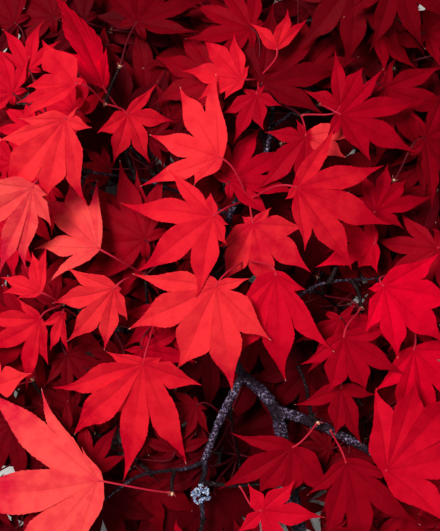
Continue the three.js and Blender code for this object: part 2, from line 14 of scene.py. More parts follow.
import bpy
import numpy as np
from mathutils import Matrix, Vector


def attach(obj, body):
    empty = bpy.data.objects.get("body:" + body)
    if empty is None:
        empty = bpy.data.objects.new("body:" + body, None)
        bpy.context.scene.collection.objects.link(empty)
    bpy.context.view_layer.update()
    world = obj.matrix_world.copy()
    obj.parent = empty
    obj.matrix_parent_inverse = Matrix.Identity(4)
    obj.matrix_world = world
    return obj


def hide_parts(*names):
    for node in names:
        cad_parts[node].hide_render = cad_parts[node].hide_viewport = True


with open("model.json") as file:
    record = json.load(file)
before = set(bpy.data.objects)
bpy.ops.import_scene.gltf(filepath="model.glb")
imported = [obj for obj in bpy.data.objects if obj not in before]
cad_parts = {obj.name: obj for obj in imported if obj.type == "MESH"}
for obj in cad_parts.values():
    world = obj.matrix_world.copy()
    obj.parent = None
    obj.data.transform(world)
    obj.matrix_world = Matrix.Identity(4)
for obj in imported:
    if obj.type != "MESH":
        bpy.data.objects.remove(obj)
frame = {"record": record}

log = logging.getLogger("maple_branch")

MM = 0.001
BODY = "root"

# The eye's height over the surface, and the height at which a place on the branch is where the eye sees it.
EYE_HEIGHT = 645.0
SEEN_LEVEL = 85.0

# The level direction that most of the light comes from.
SUNNY_SIDE = np.array([-0.845, 0.534, 0.0])

# Where the picture's lower edge crosses the branch: past it along +Y, a limb in front shows bare.
PICTURE_FOOT = -133.0

# How far a leaf's middle lies ahead of its heel, as a share of its length.
MIDDLE_SHARE = 0.4

# The turn from one place to the next in a tier of leaves.
GOLDEN_ANGLE = math.pi * (3 - math.sqrt(5))

# The distance between two samples along a side twig.
TWIG_STEP = 2.5

# A patch of a surface: its points, its faces with four and with three corners, and its map.
Patch = tuple[np.ndarray, list[np.ndarray], np.ndarray]


class Tone(Enum):
    """The tints that the leaves come in, each with its colour in sRGB from 0 to 255."""

    # The darker tints are partly painted shade, for leaves that lie deep in the crown or in its dim places.
    CORAL = (251, 67, 72)
    SCARLET = (238, 42, 54)
    RED = (226, 28, 46)
    ROSE = (232, 5, 44)
    CRIMSON = (208, 14, 40)
    GARNET = (176, 6, 33)
    MAROON = (146, 4, 26)
    SHADE = (112, 4, 20)
    WINE = (84, 3, 17)


class Tier(Enum):
    """How a leaf came to its place: laid facing the eye, between, or under the limbs."""

    FACING = "facing"
    MIDDLE = "middle"
    UNDER = "under"


def linear(colour: tuple[float, float, float]) -> tuple[float, float, float, float]:
    """Turns an sRGB colour from 0 to 255 into a linear one with full alpha.

    Args:
        colour: red, green and blue from 0 to 255.

    Returns:
        The linear red, green, blue and alpha.
    """
    share = np.asarray(colour, float) / 255
    low, high = share / 12.92, ((share + 0.055) / 1.055) ** 2.4
    return (*np.where(share <= 0.04045, low, high).tolist(), 1.0)


def unit(vectors: np.ndarray) -> np.ndarray:
    """Scales each vector in the last axis to length one."""
    return vectors / np.maximum(np.linalg.norm(vectors, axis=-1, keepdims=True), 1e-9)


class SeededRun:
    """A run of numbers from a seed, each from 0 to 1, the same as the one in the solids' source."""

    def __init__(self, seed: int) -> None:
        """Starts the run at a seed."""
        self.state = seed

    def next(self) -> float:
        """Steps the congruential rule once and gives the new state as a share of its range."""
        self.state = (self.state * 1664525 + 1013904223) & 0xFFFFFFFF
        return self.state / 4294967296

    def between(self, low: float, high: float) -> float:
        """Gives a number from low to high."""
        return low + (high - low) * self.next()

    def either(self, size: float) -> float:
        """Gives a number from minus size to plus size."""
        return size * (2 * self.next() - 1)


class Surface:
    """Gathers patches of vertices and faces, and makes one mesh object of them."""

    def __init__(self) -> None:
        """Starts with no patches."""
        self.points: list[np.ndarray] = []
        self.uvs: list[np.ndarray] = []
        self.shades: list[np.ndarray] = []
        self.tips: list[np.ndarray] = []
        self.faces: dict[int, list[np.ndarray]] = {3: [], 4: []}
        self.dress: dict[int, list[np.ndarray]] = {3: [], 4: []}
        self.count = 0

    def add(
        self,
        points: np.ndarray,
        faces: list[np.ndarray],
        uv: np.ndarray,
        shade: "float | np.ndarray" = 0.5,
        dress: int = 0,
        tip: "float | np.ndarray" = 0.0,
    ) -> None:
        """Adds one patch.

        Args:
            points: the vertices, in millimetres in the branch's own frame.
            faces: arrays of faces with three or four corners each.
            uv: two numbers for each vertex.
            shade: the patch's or each vertex's place in the tint's range with its painted light, 0 to 1, up
                to 2 lit up.
            dress: the number of the patch's material on the object.
            tip: how near each vertex is to the end of its lobe, from 0 to 1.
        """
        self.points.append(points)
        self.uvs.append(uv)
        self.shades.append(np.broadcast_to(shade, len(points)))
        self.tips.append(np.broadcast_to(tip, len(points)))
        for group in faces:
            corners = group.shape[1]
            self.faces[corners].append(group + self.count)
            self.dress[corners].append(np.full(len(group), dress, np.int32))
        self.count += len(points)

    def build(
        self, name: str, materials: list[bpy.types.Material], shift: np.ndarray, crease: float = 60
    ) -> bpy.types.Object:
        """Makes the mesh object, with its place in its mesh.

        Args:
            name: the object's name.
            materials: the materials, in the order of the patches' numbers.
            shift: the place of the branch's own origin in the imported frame, in millimetres.
            crease: the angle in degrees past which an edge stays sharp.

        Returns:
            The object, riding on the branch's only body.
        """
        mesh = bpy.data.meshes.new(name)
        points = (np.concatenate(self.points) + shift) * MM
        loops = [np.concatenate(group).ravel() for group in self.faces.values() if group]
        sizes = [np.full(sum(map(len, group)), corners) for corners, group in self.faces.items() if group]
        dress = [np.concatenate(group) for group in self.dress.values() if group]
        corners, size = np.concatenate(loops).astype(np.int32), np.concatenate(sizes).astype(np.int32)
        mesh.vertices.add(len(points))
        mesh.vertices.foreach_set("co", points.astype(np.float32).ravel())
        mesh.loops.add(len(corners))
        mesh.loops.foreach_set("vertex_index", corners)
        mesh.polygons.add(len(size))
        mesh.polygons.foreach_set("loop_start", np.concatenate([[0], np.cumsum(size)[:-1]]).astype(np.int32))
        mesh.polygons.foreach_set("material_index", np.concatenate(dress))
        mesh.polygons.foreach_set("use_smooth", np.ones(len(size), bool))
        mesh.update(calc_edges=True)
        layer = mesh.uv_layers.new(name="surface")
        layer.data.foreach_set("uv", np.concatenate(self.uvs)[corners].astype(np.float32).ravel())
        for label, values in (("shade", self.shades), ("tip", self.tips)):
            number = mesh.attributes.new(label, "FLOAT", "POINT")
            number.data.foreach_set("value", np.concatenate(values).astype(np.float32))
        mesh.set_sharp_from_angle(angle=math.radians(crease))
        for material in materials:
            mesh.materials.append(material)
        piece = bpy.data.objects.new(name, mesh)
        bpy.context.scene.collection.objects.link(piece)
        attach(piece, BODY)
        return piece


# Shaders


class Term:
    """A number on a node's socket, with the arithmetic that adds Math nodes."""

    def __init__(self, shader: "Shader", socket: bpy.types.NodeSocket) -> None:
        """Wraps a socket of a shader."""
        self.shader, self.socket = shader, socket

    def math(self, operation: str, *others: "Term | float") -> "Term":
        """Adds a Math node on this number and others, and gives its result."""
        inputs = dict(enumerate((self, *others)))
        return self.shader.node("ShaderNodeMath", {"operation": operation}, inputs, "Value")

    def __add__(self, other: "Term | float") -> "Term":
        """Gives the sum."""
        return self.math("ADD", other)

    def __mul__(self, other: "Term | float") -> "Term":
        """Gives the product."""
        return self.math("MULTIPLY", other)

    def __sub__(self, other: "Term | float") -> "Term":
        """Gives the difference."""
        return self.math("SUBTRACT", other)

    def __rsub__(self, other: float) -> "Term":
        """Gives a number less this one."""
        return (self * -1) + other

    def __abs__(self) -> "Term":
        """Gives the size without its sign."""
        return self.math("ABSOLUTE")

    def fract(self) -> "Term":
        """Gives what is left past the whole number."""
        return self.math("FRACT")

    def larger(self, other: "Term | float") -> "Term":
        """Gives the larger of the two."""
        return self.math("MAXIMUM", other)

    def step(self, low: float, high: float) -> "Term":
        """Rises smoothly from 0 at low to 1 at high."""
        settings = {"interpolation_type": "SMOOTHSTEP"}
        inputs = {"Value": self, "From Min": low, "From Max": high}
        return self.shader.node("ShaderNodeMapRange", settings, inputs, "Result")


class Shader:
    """A material's node tree, with one method for any node and a few for common ones."""

    def __init__(self, name: str) -> None:
        """Makes an empty material."""
        self.material = bpy.data.materials.new(name)
        self.material.use_nodes = True
        self.tree = self.material.node_tree
        self.tree.nodes.clear()

    def node(self, kind: str, settings: dict, inputs: dict, output: str | int) -> Term:
        """Adds one node.

        Args:
            kind: the node's type name.
            settings: the node's own properties, set first.
            inputs: values or terms for its sockets, by name or number.
            output: the socket to give back.

        Returns:
            The output as a term.
        """
        node = self.tree.nodes.new(kind)
        for key, value in settings.items():
            setattr(node, key, value)
        for key, value in inputs.items():
            if isinstance(value, Term):
                self.tree.links.new(value.socket, node.inputs[key])
            else:
                node.inputs[key].default_value = value
        return Term(self, node.outputs[output])

    def place(self) -> Term:
        """Gives the piece's own coordinates, in metres."""
        return self.node("ShaderNodeTexCoord", {}, {}, "Object")

    def noise(self, scale: float, detail: float = 3, roughness: float = 0.55) -> Term:
        """Gives a cloudy noise from 0 to 1 over the piece's own coordinates."""
        inputs = {"Vector": self.place(), "Scale": scale, "Detail": detail, "Roughness": roughness}
        return self.node("ShaderNodeTexNoise", {}, inputs, "Fac")

    def attribute(self, name: str) -> Term:
        """Gives a number that the mesh holds at each vertex."""
        return self.node("ShaderNodeAttribute", {"attribute_name": name}, {}, "Fac")

    def surface_axes(self) -> tuple[Term, Term]:
        """Gives the two numbers of the piece's own UV map."""
        uv = self.node("ShaderNodeUVMap", {"uv_map": "surface"}, {}, "UV")
        return tuple(self.node("ShaderNodeSeparateXYZ", {}, {0: uv}, axis) for axis in ("X", "Y"))

    def mixed(self, factor: "Term | float", first: object, second: object) -> Term:
        """Mixes two colours by a factor."""
        settings = {"data_type": "RGBA"}
        return self.node("ShaderNodeMix", settings, {0: factor, 6: first, 7: second}, 2)

    def finish(
        self, colour: object, roughness: "Term | float", height: Term, **fixed: float
    ) -> bpy.types.Material:
        """Closes the tree with a principled surface.

        Args:
            colour: the base colour.
            roughness: the roughness.
            height: the relief in metres above the surface.
            fixed: sockets that are the same all over, by name with _ for a space.

        Returns:
            The material.
        """
        inputs = {"Base Color": colour, "Roughness": roughness}
        inputs.update({key.replace("_", " "): value for key, value in fixed.items()})
        relief = {"Height": height, "Distance": 1.0, "Strength": 1.0}
        inputs["Normal"] = self.node("ShaderNodeBump", {}, relief, "Normal")
        surface = self.node("ShaderNodeBsdfPrincipled", {}, inputs, "BSDF")
        output = self.tree.nodes.new("ShaderNodeOutputMaterial")
        self.tree.links.new(surface.socket, output.inputs["Surface"])
        return self.material


@dataclass(frozen=True)
class LeafFinish:
    """A satin blade: midribs pressed in, faint side veins, a cloudy fine-grained skin and a tint of its own.

    The haze is what the satin skin adds to green and blue, so it is taken off the tint first. What the dark
    places, the light places and the veins keep of the tint is in deepest, lightest and pressed. The dark and
    light places are partly random and partly painted: painted light on the lobe halves that face the light
    and a painted highlight colour on a few lobes, painted shade towards the tips and the hub. Along the
    midribs the darkening is partly their own colour and partly painted shade in the fold. The lighter lobes
    get a painted highlight at their tips.
    """

    tone: Tone
    vein_dark: float = 0.26
    mottle: float = 0.55
    side_veins: float = 13.0
    haze: float = 0.002
    deepest: tuple = (0.74, 0.2, 0.66, 1)
    lightest: tuple = (1.14, 1.45, 1.15, 1)
    pressed: tuple = (0.5, 0.15, 0.45, 1)
    lit_up: tuple[int, int, int] = (250, 60, 66)
    painted_glint_colour: tuple[int, int, int] = (240, 172, 150)

    def material(self) -> bpy.types.Material:
        """Makes the blade's material from its map: the way along a lobe, and the way out from its midrib."""
        shader = Shader(f"leaf_{self.tone.name.lower()}")
        along, aside = shader.surface_axes()
        fading = 1 - along.step(0.3, 0.85) * 0.85
        # Darker along the midribs: partly the veins' own colour, partly painted shade in the fold.
        crease = ((1 - aside.step(0.001, 0.012)) * 0.6 + (1 - aside.step(0.0, 0.032)) * 0.4) * fading
        rise = abs(((along - aside * 1.1) * self.side_veins).fract() - 0.5) * 2
        branch = (1 - rise.step(0.0, 0.25)) * (1 - aside.step(0.05, 0.1))
        veins = crease.larger(branch * 0.3)
        grain, cloud = shader.noise(1500, 2), shader.noise(150, 3) * 0.6 + shader.noise(62, 2) * 0.4
        hazeless = np.array(linear(self.tone.value)) - [0, self.haze, self.haze, 0]
        base = np.maximum(hazeless, [0, 0.0006, 0.004, 1])
        shade = shader.attribute("shade")
        deep, light = base * self.deepest, np.minimum(base * self.lightest, 1)
        # Painted shade: the tint darkens towards the lobes' tips and at the hub.
        ends = along.step(0.6, 0.95) * 0.75 + (1 - along.step(0.02, 0.25)) * 0.3
        tint = shader.mixed(shade * 0.65 + cloud.step(0.36, 0.64) * 0.6 - ends, tuple(deep), tuple(light))
        # Painted highlight: a lobe marked lit up goes over to a pale coral.
        lit = shader.mixed(shade.step(1.0, 2.0), tint, linear(self.lit_up))
        marked = veins * self.vein_dark + (cloud - 0.5) * self.mottle + (grain - 0.5) * 0.4
        blade = shader.mixed(marked.larger(0.0), lit, tuple(base * self.pressed))
        # Painted highlight: a pale glint at the tips of the lighter lobes.
        painted_tip_glint = shader.attribute("tip").step(0.96, 0.995) * shade.step(0.74, 0.8)
        colour = shader.mixed(painted_tip_glint * 0.8, blade, linear(self.painted_glint_colour))
        height = grain * 0.00006 + cloud * 0.0009 - veins * 0.00018
        return shader.finish(colour, cloud * 0.2 + 0.38, height, Specular_IOR_Level=0.014)


@dataclass(frozen=True)
class StalkFinish:
    """Red leaf stalks, paler and pinker where they leave the twig."""

    name: str
    low: tuple[int, int, int]
    high: tuple[int, int, int]
    foot: tuple[int, int, int]

    def material(self) -> bpy.types.Material:
        """Makes the stalk's material: its map runs from 0 at the twig to 1 at the blade."""
        shader = Shader(self.name)
        along, _ = shader.surface_axes()
        grain = shader.noise(420)
        foot = 1 - along.step(0.0, 0.12)
        red = shader.mixed(grain, linear(self.low), linear(self.high))
        colour = shader.mixed(foot * 0.5, red, linear(self.foot))
        return shader.finish(colour, grain * 0.2 + 0.4, grain * 0.00008, Specular_IOR_Level=0.15)


@dataclass(frozen=True)
class TwigFinish:
    """Thin twigs, near black, with pale streaks of painted highlight."""

    def material(self) -> bpy.types.Material:
        """Makes the twig's material from small noise."""
        shader = Shader("twig_dark")
        grain = shader.noise(650)
        # Painted highlights: pale streaks where a thin twig would glint.
        painted_glint_dashes = shader.noise(1500, 1).step(0.6, 0.68)
        bark = shader.mixed(grain, linear((9, 3, 5)), linear((34, 12, 17)))
        colour = shader.mixed(painted_glint_dashes * 0.4, bark, linear((138, 108, 114)))
        height = grain * 0.0003 + painted_glint_dashes * 0.00008
        return shader.finish(colour, grain * 0.25 + 0.5, height, Specular_IOR_Level=0.12)


@dataclass(frozen=True)
class BarkFinish:
    """Dark purplish bark with lavender and white flecks: many on the old limbs, few on the young ones."""

    name: str = "bark_purple_brown"
    low: tuple[int, int, int] = (9, 3, 7)
    high: tuple[int, int, int] = (50, 24, 36)
    flecked: float = 0.9
    size: float = 900

    def material(self) -> bpy.types.Material:
        """Makes the bark's material: fine furrows, and flecks where two noises meet."""
        shader = Shader(self.name)
        grain = shader.noise(420, 5, 0.65)
        patch = shader.noise(75, 2).step(0.43, 0.57)
        flecks = shader.noise(self.size, 4, 0.7).step(0.5, 0.58)
        small = shader.noise(2400, 1).step(0.64, 0.72)
        dusty = (flecks * (patch * 0.92 + 0.06)).larger(small * 0.4) * self.flecked
        bark = shader.mixed(grain.step(0.25, 0.8), linear(self.low), linear(self.high))
        pale = shader.noise(700, 1).step(0.3, 0.7)
        fleck = shader.mixed(pale, linear((112, 88, 140)), linear((190, 174, 206)))
        colour = shader.mixed(dusty, bark, fleck)
        height = grain * 0.0009 + flecks * 0.00016
        return shader.finish(colour, grain * 0.25 + 0.5, height, Specular_IOR_Level=0.12)


@dataclass(frozen=True)
class CutWoodFinish:
    """The pale face of the cut: faint growth rings, rays, a darker pith and a green rim under the bark."""

    def material(self) -> bpy.types.Material:
        """Makes the face's material: its map holds the share of the way out from the pith, and the turn."""
        shader = Shader("cut_wood")
        out, turn = shader.surface_axes()
        grain = shader.noise(1600, 3)
        rings = abs(((out + grain * 0.05) * 5.0).fract() - 0.5) * 2
        rays = abs((turn * 26).fract() - 0.5).step(0.36, 0.5)
        wood = shader.mixed(rings.step(0.1, 0.9), linear((203, 172, 128)), linear((232, 209, 170)))
        rayed = shader.mixed(rays * 0.25, wood, linear((180, 146, 104)))
        pith = shader.mixed(1 - out.step(0.08, 0.16), rayed, linear((128, 88, 60)))
        colour = shader.mixed(out.step(0.86, 0.93), pith, linear((108, 128, 62)))
        return shader.finish(colour, 0.62, grain * 0.00012 + rings * 0.00004)


@dataclass(frozen=True)
class LichenFinish:
    """Lichen frills: dark blue at the foot, pale blue and white at the ruffled edge."""

    def material(self) -> bpy.types.Material:
        """Makes the lichen's material: its map runs from 0 at a frill's foot to 1 at its edge."""
        shader = Shader("lichen_blue")
        out, _ = shader.surface_axes()
        grain = shader.noise(900, 3)
        pale = shader.mixed(grain.step(0.4, 0.6), linear((118, 148, 208)), linear((226, 236, 250)))
        colour = shader.mixed((out + (grain - 0.5) * 0.5).step(0.42, 0.95), linear((20, 32, 74)), pale)
        return shader.finish(colour, 0.85, grain * 0.0004, Specular_IOR_Level=0.1)


@dataclass(frozen=True)
class PlainGrainFinish:
    """A small growth's skin: two tints clouded into each other, with a fine grain."""

    name: str
    first: tuple[int, int, int]
    second: tuple[int, int, int]
    scale: float = 500
    roughness: float = 0.5
    relief: float = 0.0002

    def material(self) -> bpy.types.Material:
        """Makes the material from one noise."""
        shader = Shader(self.name)
        grain = shader.noise(self.scale, 4)
        colour = shader.mixed(grain.step(0.35, 0.65), linear(self.first), linear(self.second))
        return shader.finish(colour, grain * 0.15 + self.roughness, grain * self.relief)


# Curves and tubes


def smooth_route(places: list, step: float) -> np.ndarray:
    """Runs a smooth curve through a list of places and samples it at even distances.

    The curve is the centripetal one: on each stretch between two places it is the cubic whose ends have the
    slopes of the non-uniform rule, with the square root of each distance as the stretch's own time.

    Args:
        places: the places, in millimetres.
        step: the distance between two samples.

    Returns:
        The samples, one a row.
    """
    p = np.asarray(places, float)
    if len(p) == 2:
        count = max(2, math.ceil(np.linalg.norm(p[1] - p[0]) / step) + 1)
        return p[0] + np.linspace(0, 1, count)[:, None] * (p[1] - p[0])
    p = np.vstack([2 * p[0] - p[1], p, 2 * p[-1] - p[-2]])
    gap = np.linalg.norm(np.diff(p, axis=0), axis=1) ** 0.5
    a, b, c = gap[:-2, None], gap[1:-1, None], gap[2:, None]
    p0, p1, p2, p3 = p[:-3], p[1:-2], p[2:-1], p[3:]
    slope1 = ((p1 - p0) / a - (p2 - p0) / (a + b) + (p2 - p1) / b) * b
    slope2 = ((p2 - p1) / b - (p3 - p1) / (b + c) + (p3 - p2) / c) * b
    samples = 40
    t = np.linspace(0, 1, samples, endpoint=False)[None, :, None]
    cubic = (2 * t**3 - 3 * t**2 + 1) * p1[:, None] + (t**3 - 2 * t**2 + t) * slope1[:, None]
    cubic = cubic + (3 * t**2 - 2 * t**3) * p2[:, None] + (t**3 - t**2) * slope2[:, None]
    dense = np.vstack([cubic.reshape(-1, 3), p[-2]])
    return evenly(dense, step)


def evenly(line: np.ndarray, step: float) -> np.ndarray:
    """Samples a line of points again at even distances along it."""
    run = np.concatenate([[0], np.cumsum(np.linalg.norm(np.diff(line, axis=0), axis=1))])
    count = max(2, math.ceil(run[-1] / step) + 1)
    at = np.linspace(0, run[-1], count)
    return np.stack([np.interp(at, run, line[:, axis]) for axis in range(3)], axis=1)


def side_vectors(line: np.ndarray) -> tuple[np.ndarray, np.ndarray, np.ndarray]:
    """Gives a line's tangents, and two vectors across it at each point.

    The first one across is the tangent crossed with the axis that the line runs along least.

    Args:
        line: the points, one a row.

    Returns:
        The tangents and the two vectors across, each of length one.
    """
    tangent = unit(np.gradient(line, axis=0))
    away = np.eye(3)[np.argmin(np.abs(tangent).mean(axis=0))]
    first = unit(np.cross(tangent, away))
    return tangent, first, np.cross(tangent, first)


def ring_faces(rings: int, sides: int) -> list[np.ndarray]:
    """Numbers the faces between closed rings of points, and the fans from two more points that close them.

    Args:
        rings: the number of rings.
        sides: the number of points in each.

    Returns:
        The walls with four corners, and the two fans with three.
    """
    number = np.arange(rings * sides).reshape(rings, sides)
    on = np.roll(number, -1, axis=1)
    walls = np.stack([number[:-1], on[:-1], on[1:], number[1:]], axis=-1).reshape(-1, 4)
    start = np.stack([np.full(sides, number.size), on[0], number[0]], axis=-1)
    end = np.stack([np.full(sides, number.size + 1), number[-1], on[-1]], axis=-1)
    return [walls, np.vstack([start, end])]


def tube_patch(line: np.ndarray, radius: np.ndarray, sides: int) -> Patch:
    """Makes a closed round tube along a line.

    A point of ring i at turn a is the line's point i plus the radius there times (cos a, sin a) on the two
    vectors across the line. The last two points close the ends.

    Args:
        line: the middle line, one point a row.
        radius: the radius at each point, or at each point and side.
        sides: the number of sides.

    Returns:
        The points, the faces and the map: the share of the way along, and the share of the turn.
    """
    _, first, second = side_vectors(line)
    turn = np.linspace(0, 2 * np.pi, sides, endpoint=False)
    radius = np.broadcast_to(np.asarray(radius, float).reshape(len(line), -1), (len(line), sides))[..., None]
    round_it = np.cos(turn)[None, :, None] * first[:, None] + np.sin(turn)[None, :, None] * second[:, None]
    rings = line[:, None] + radius * round_it
    points = np.vstack([rings.reshape(-1, 3), line[0], line[-1]])
    share = np.linspace(0, 1, len(line))
    uv = np.stack(np.broadcast_arrays(share[:, None], (turn / (2 * np.pi))[None, :]), axis=-1).reshape(-1, 2)
    return points, ring_faces(len(line), sides), np.vstack([uv, [0, 0.5], [1, 0.5]])


def bead_patch(centre: np.ndarray, axis: np.ndarray, length: float, radius: float, sides: int = 8) -> Patch:
    """Makes a small pointed or round bead: its radius follows the square root of a sine along its axis.

    Args:
        centre: the bead's foot.
        axis: the way that it points.
        length: its length.
        radius: its largest radius.
        sides: the number of sides.

    Returns:
        The points, the faces and the map.
    """
    share = np.linspace(0, 1, 7)
    swell = np.sin(np.pi * np.clip(share, 0.02, 0.985)) ** 0.6 * (1 - 0.35 * share)
    line = np.asarray(centre) + share[:, None] * unit(np.asarray(axis, float)) * length
    return tube_patch(line, radius * swell, sides)


# The blade


@dataclass(frozen=True)
class Lobe:
    """One lobe: its turn from the middle one in degrees, reach, half-width, teeth, and how far it is lit."""

    turn: float
    reach: float
    half_width: float
    teeth: int
    lit: float = 0.0


@dataclass(frozen=True)
class BladePlan:
    """The blade's outline, in shares of the middle lobe's length.

    Attributes:
        lobes: the lobes, counterclockwise.
        curled_heel: whether the two lobes at the heel curl under.
        heel: how far out the cleft at the heel lies.
        crowding: how far out the other clefts lie, as a share of what their lobes' half-widths need.
        deepest: how far out a cleft may lie, as a share of the shorter lobe's reach.
        close: the angle in degrees between a lobe and its cleft under which the lobe is kept narrow.
        tooth: the depth of a tooth.
        narrowing: the share of the way to the tip where a lobe draws in.
        sag: how far the blade sinks at a distance of its own length from the hub.
        thickness: the thickness, in millimetres.
    """

    lobes: tuple = (
        Lobe(-124, 0.36, 0.06, 6),
        Lobe(-73, 0.8, 0.118, 11),
        Lobe(-36, 0.97, 0.137, 13),
        Lobe(0, 1.0, 0.137, 13),
        Lobe(36, 0.97, 0.137, 13),
        Lobe(73, 0.8, 0.118, 11),
        Lobe(124, 0.36, 0.06, 6),
    )
    curled_heel: bool = True
    heel: float = 0.05
    crowding: float = 0.95
    deepest: float = 0.6
    close: float = 14
    tooth: float = 0.0085
    narrowing: float = 0.56
    sag: float = 0.08
    thickness: float = 0.3

    def clefts(self) -> list[tuple[float, float]]:
        """Gives the clefts' turns and reaches, from the heel round to the heel.

        A cleft lies half way between two lobes, as far out as their half-widths need, nearer in beside a
        short lobe, and at most a share of the shorter one's reach.
        """
        between, longest = [], max(lobe.reach for lobe in self.lobes)
        for one, two in zip(self.lobes, self.lobes[1:]):
            half_gap = math.sin(math.radians(max(4.0, two.turn - one.turn) / 2))
            shorter = min(one.reach, two.reach)
            need = self.crowding * (one.half_width + two.half_width) / 2 / half_gap
            need *= 0.55 + 0.45 * shorter / longest
            between.append(((one.turn + two.turn) / 2, min(need, self.deepest * shorter)))
        return [(-180.0, self.heel), *between, (180.0, self.heel)]

    def half_margin(self, lobe: Lobe, cleft: tuple[float, float], teeth: int) -> tuple[np.ndarray, ...]:
        """Works out one side of a lobe, from its cleft to its tip.

        With q the share of the way from the cleft to the tip and n the narrowing, the half-width goes with
        1 / (1 + (q / n)^4.5), less what that leaves at the tip times q^6, so the lobe stays wide and then
        draws out to a long thin tip. Each tooth leans to the tip.

        Args:
            lobe: the lobe.
            cleft: the cleft's turn and reach.
            teeth: the number of teeth.

        Returns:
            The way along the lobe and the way out from its midrib, for each point, without the tip, and how
            freely the lobe's breadth may change there.
        """
        apart = math.radians(abs(cleft[0] - lobe.turn))
        foot, wide = cleft[1] * math.cos(apart), cleft[1] * math.sin(apart)
        widest = min(lobe.half_width, 1.2 * wide) if apart < math.radians(self.close) else lobe.half_width
        count = 2 * teeth
        share = np.arange(count) / count
        odd = np.arange(count) % 2
        share = share + odd * 0.32 / count
        free = np.minimum(1, share / 0.25) ** 0.8
        left_over = 1 / (1 + self.narrowing**-4.5)
        draw = 1 / (1 + (share / self.narrowing) ** 4.5) - left_over * share**6
        aside = (wide + (widest - wide) * free) * draw
        uneven = 0.75 + 0.35 * np.sin(np.arange(count) * 2.3 + lobe.turn)
        bite = self.tooth * uneven * min(lobe.reach, 0.9) * (1 - share) ** 0.5 * np.minimum(1, share * 6)
        along = foot + share * (lobe.reach - foot)
        return along, np.maximum(aside + odd * bite, 0.003), free

    def margin(self, fineness: float) -> dict[str, np.ndarray]:
        """Works out the whole margin from the heel round to the heel, counterclockwise.

        Args:
            fineness: the share of the lobes' teeth that are made.

        Returns:
            For each point its way along its lobe and out from the midrib, how free its breadth is, its lobe's
            turn and its lobe's number.
        """
        columns: dict[str, list] = {"along": [], "aside": [], "free": [], "turn": [], "lobe": []}
        clefts = self.clefts()
        for number, lobe in enumerate(self.lobes):
            teeth = max(2, round(lobe.teeth * fineness))
            tip = np.array([[lobe.reach], [0.0], [1.0]])
            for hand, cleft in ((-1, clefts[number]), (1, clefts[number + 1])):
                side = np.hstack([np.stack(self.half_margin(lobe, cleft, teeth)), tip])
                run = side[:, :-1] if hand < 0 else side[:, :0:-1]
                same = np.ones(run.shape[1])
                values = (run[0], hand * run[1], run[2], same * math.radians(lobe.turn), same * number)
                for key, value in zip(columns, values):
                    columns[key].append(value)
        return {key: np.concatenate(value) for key, value in columns.items()}


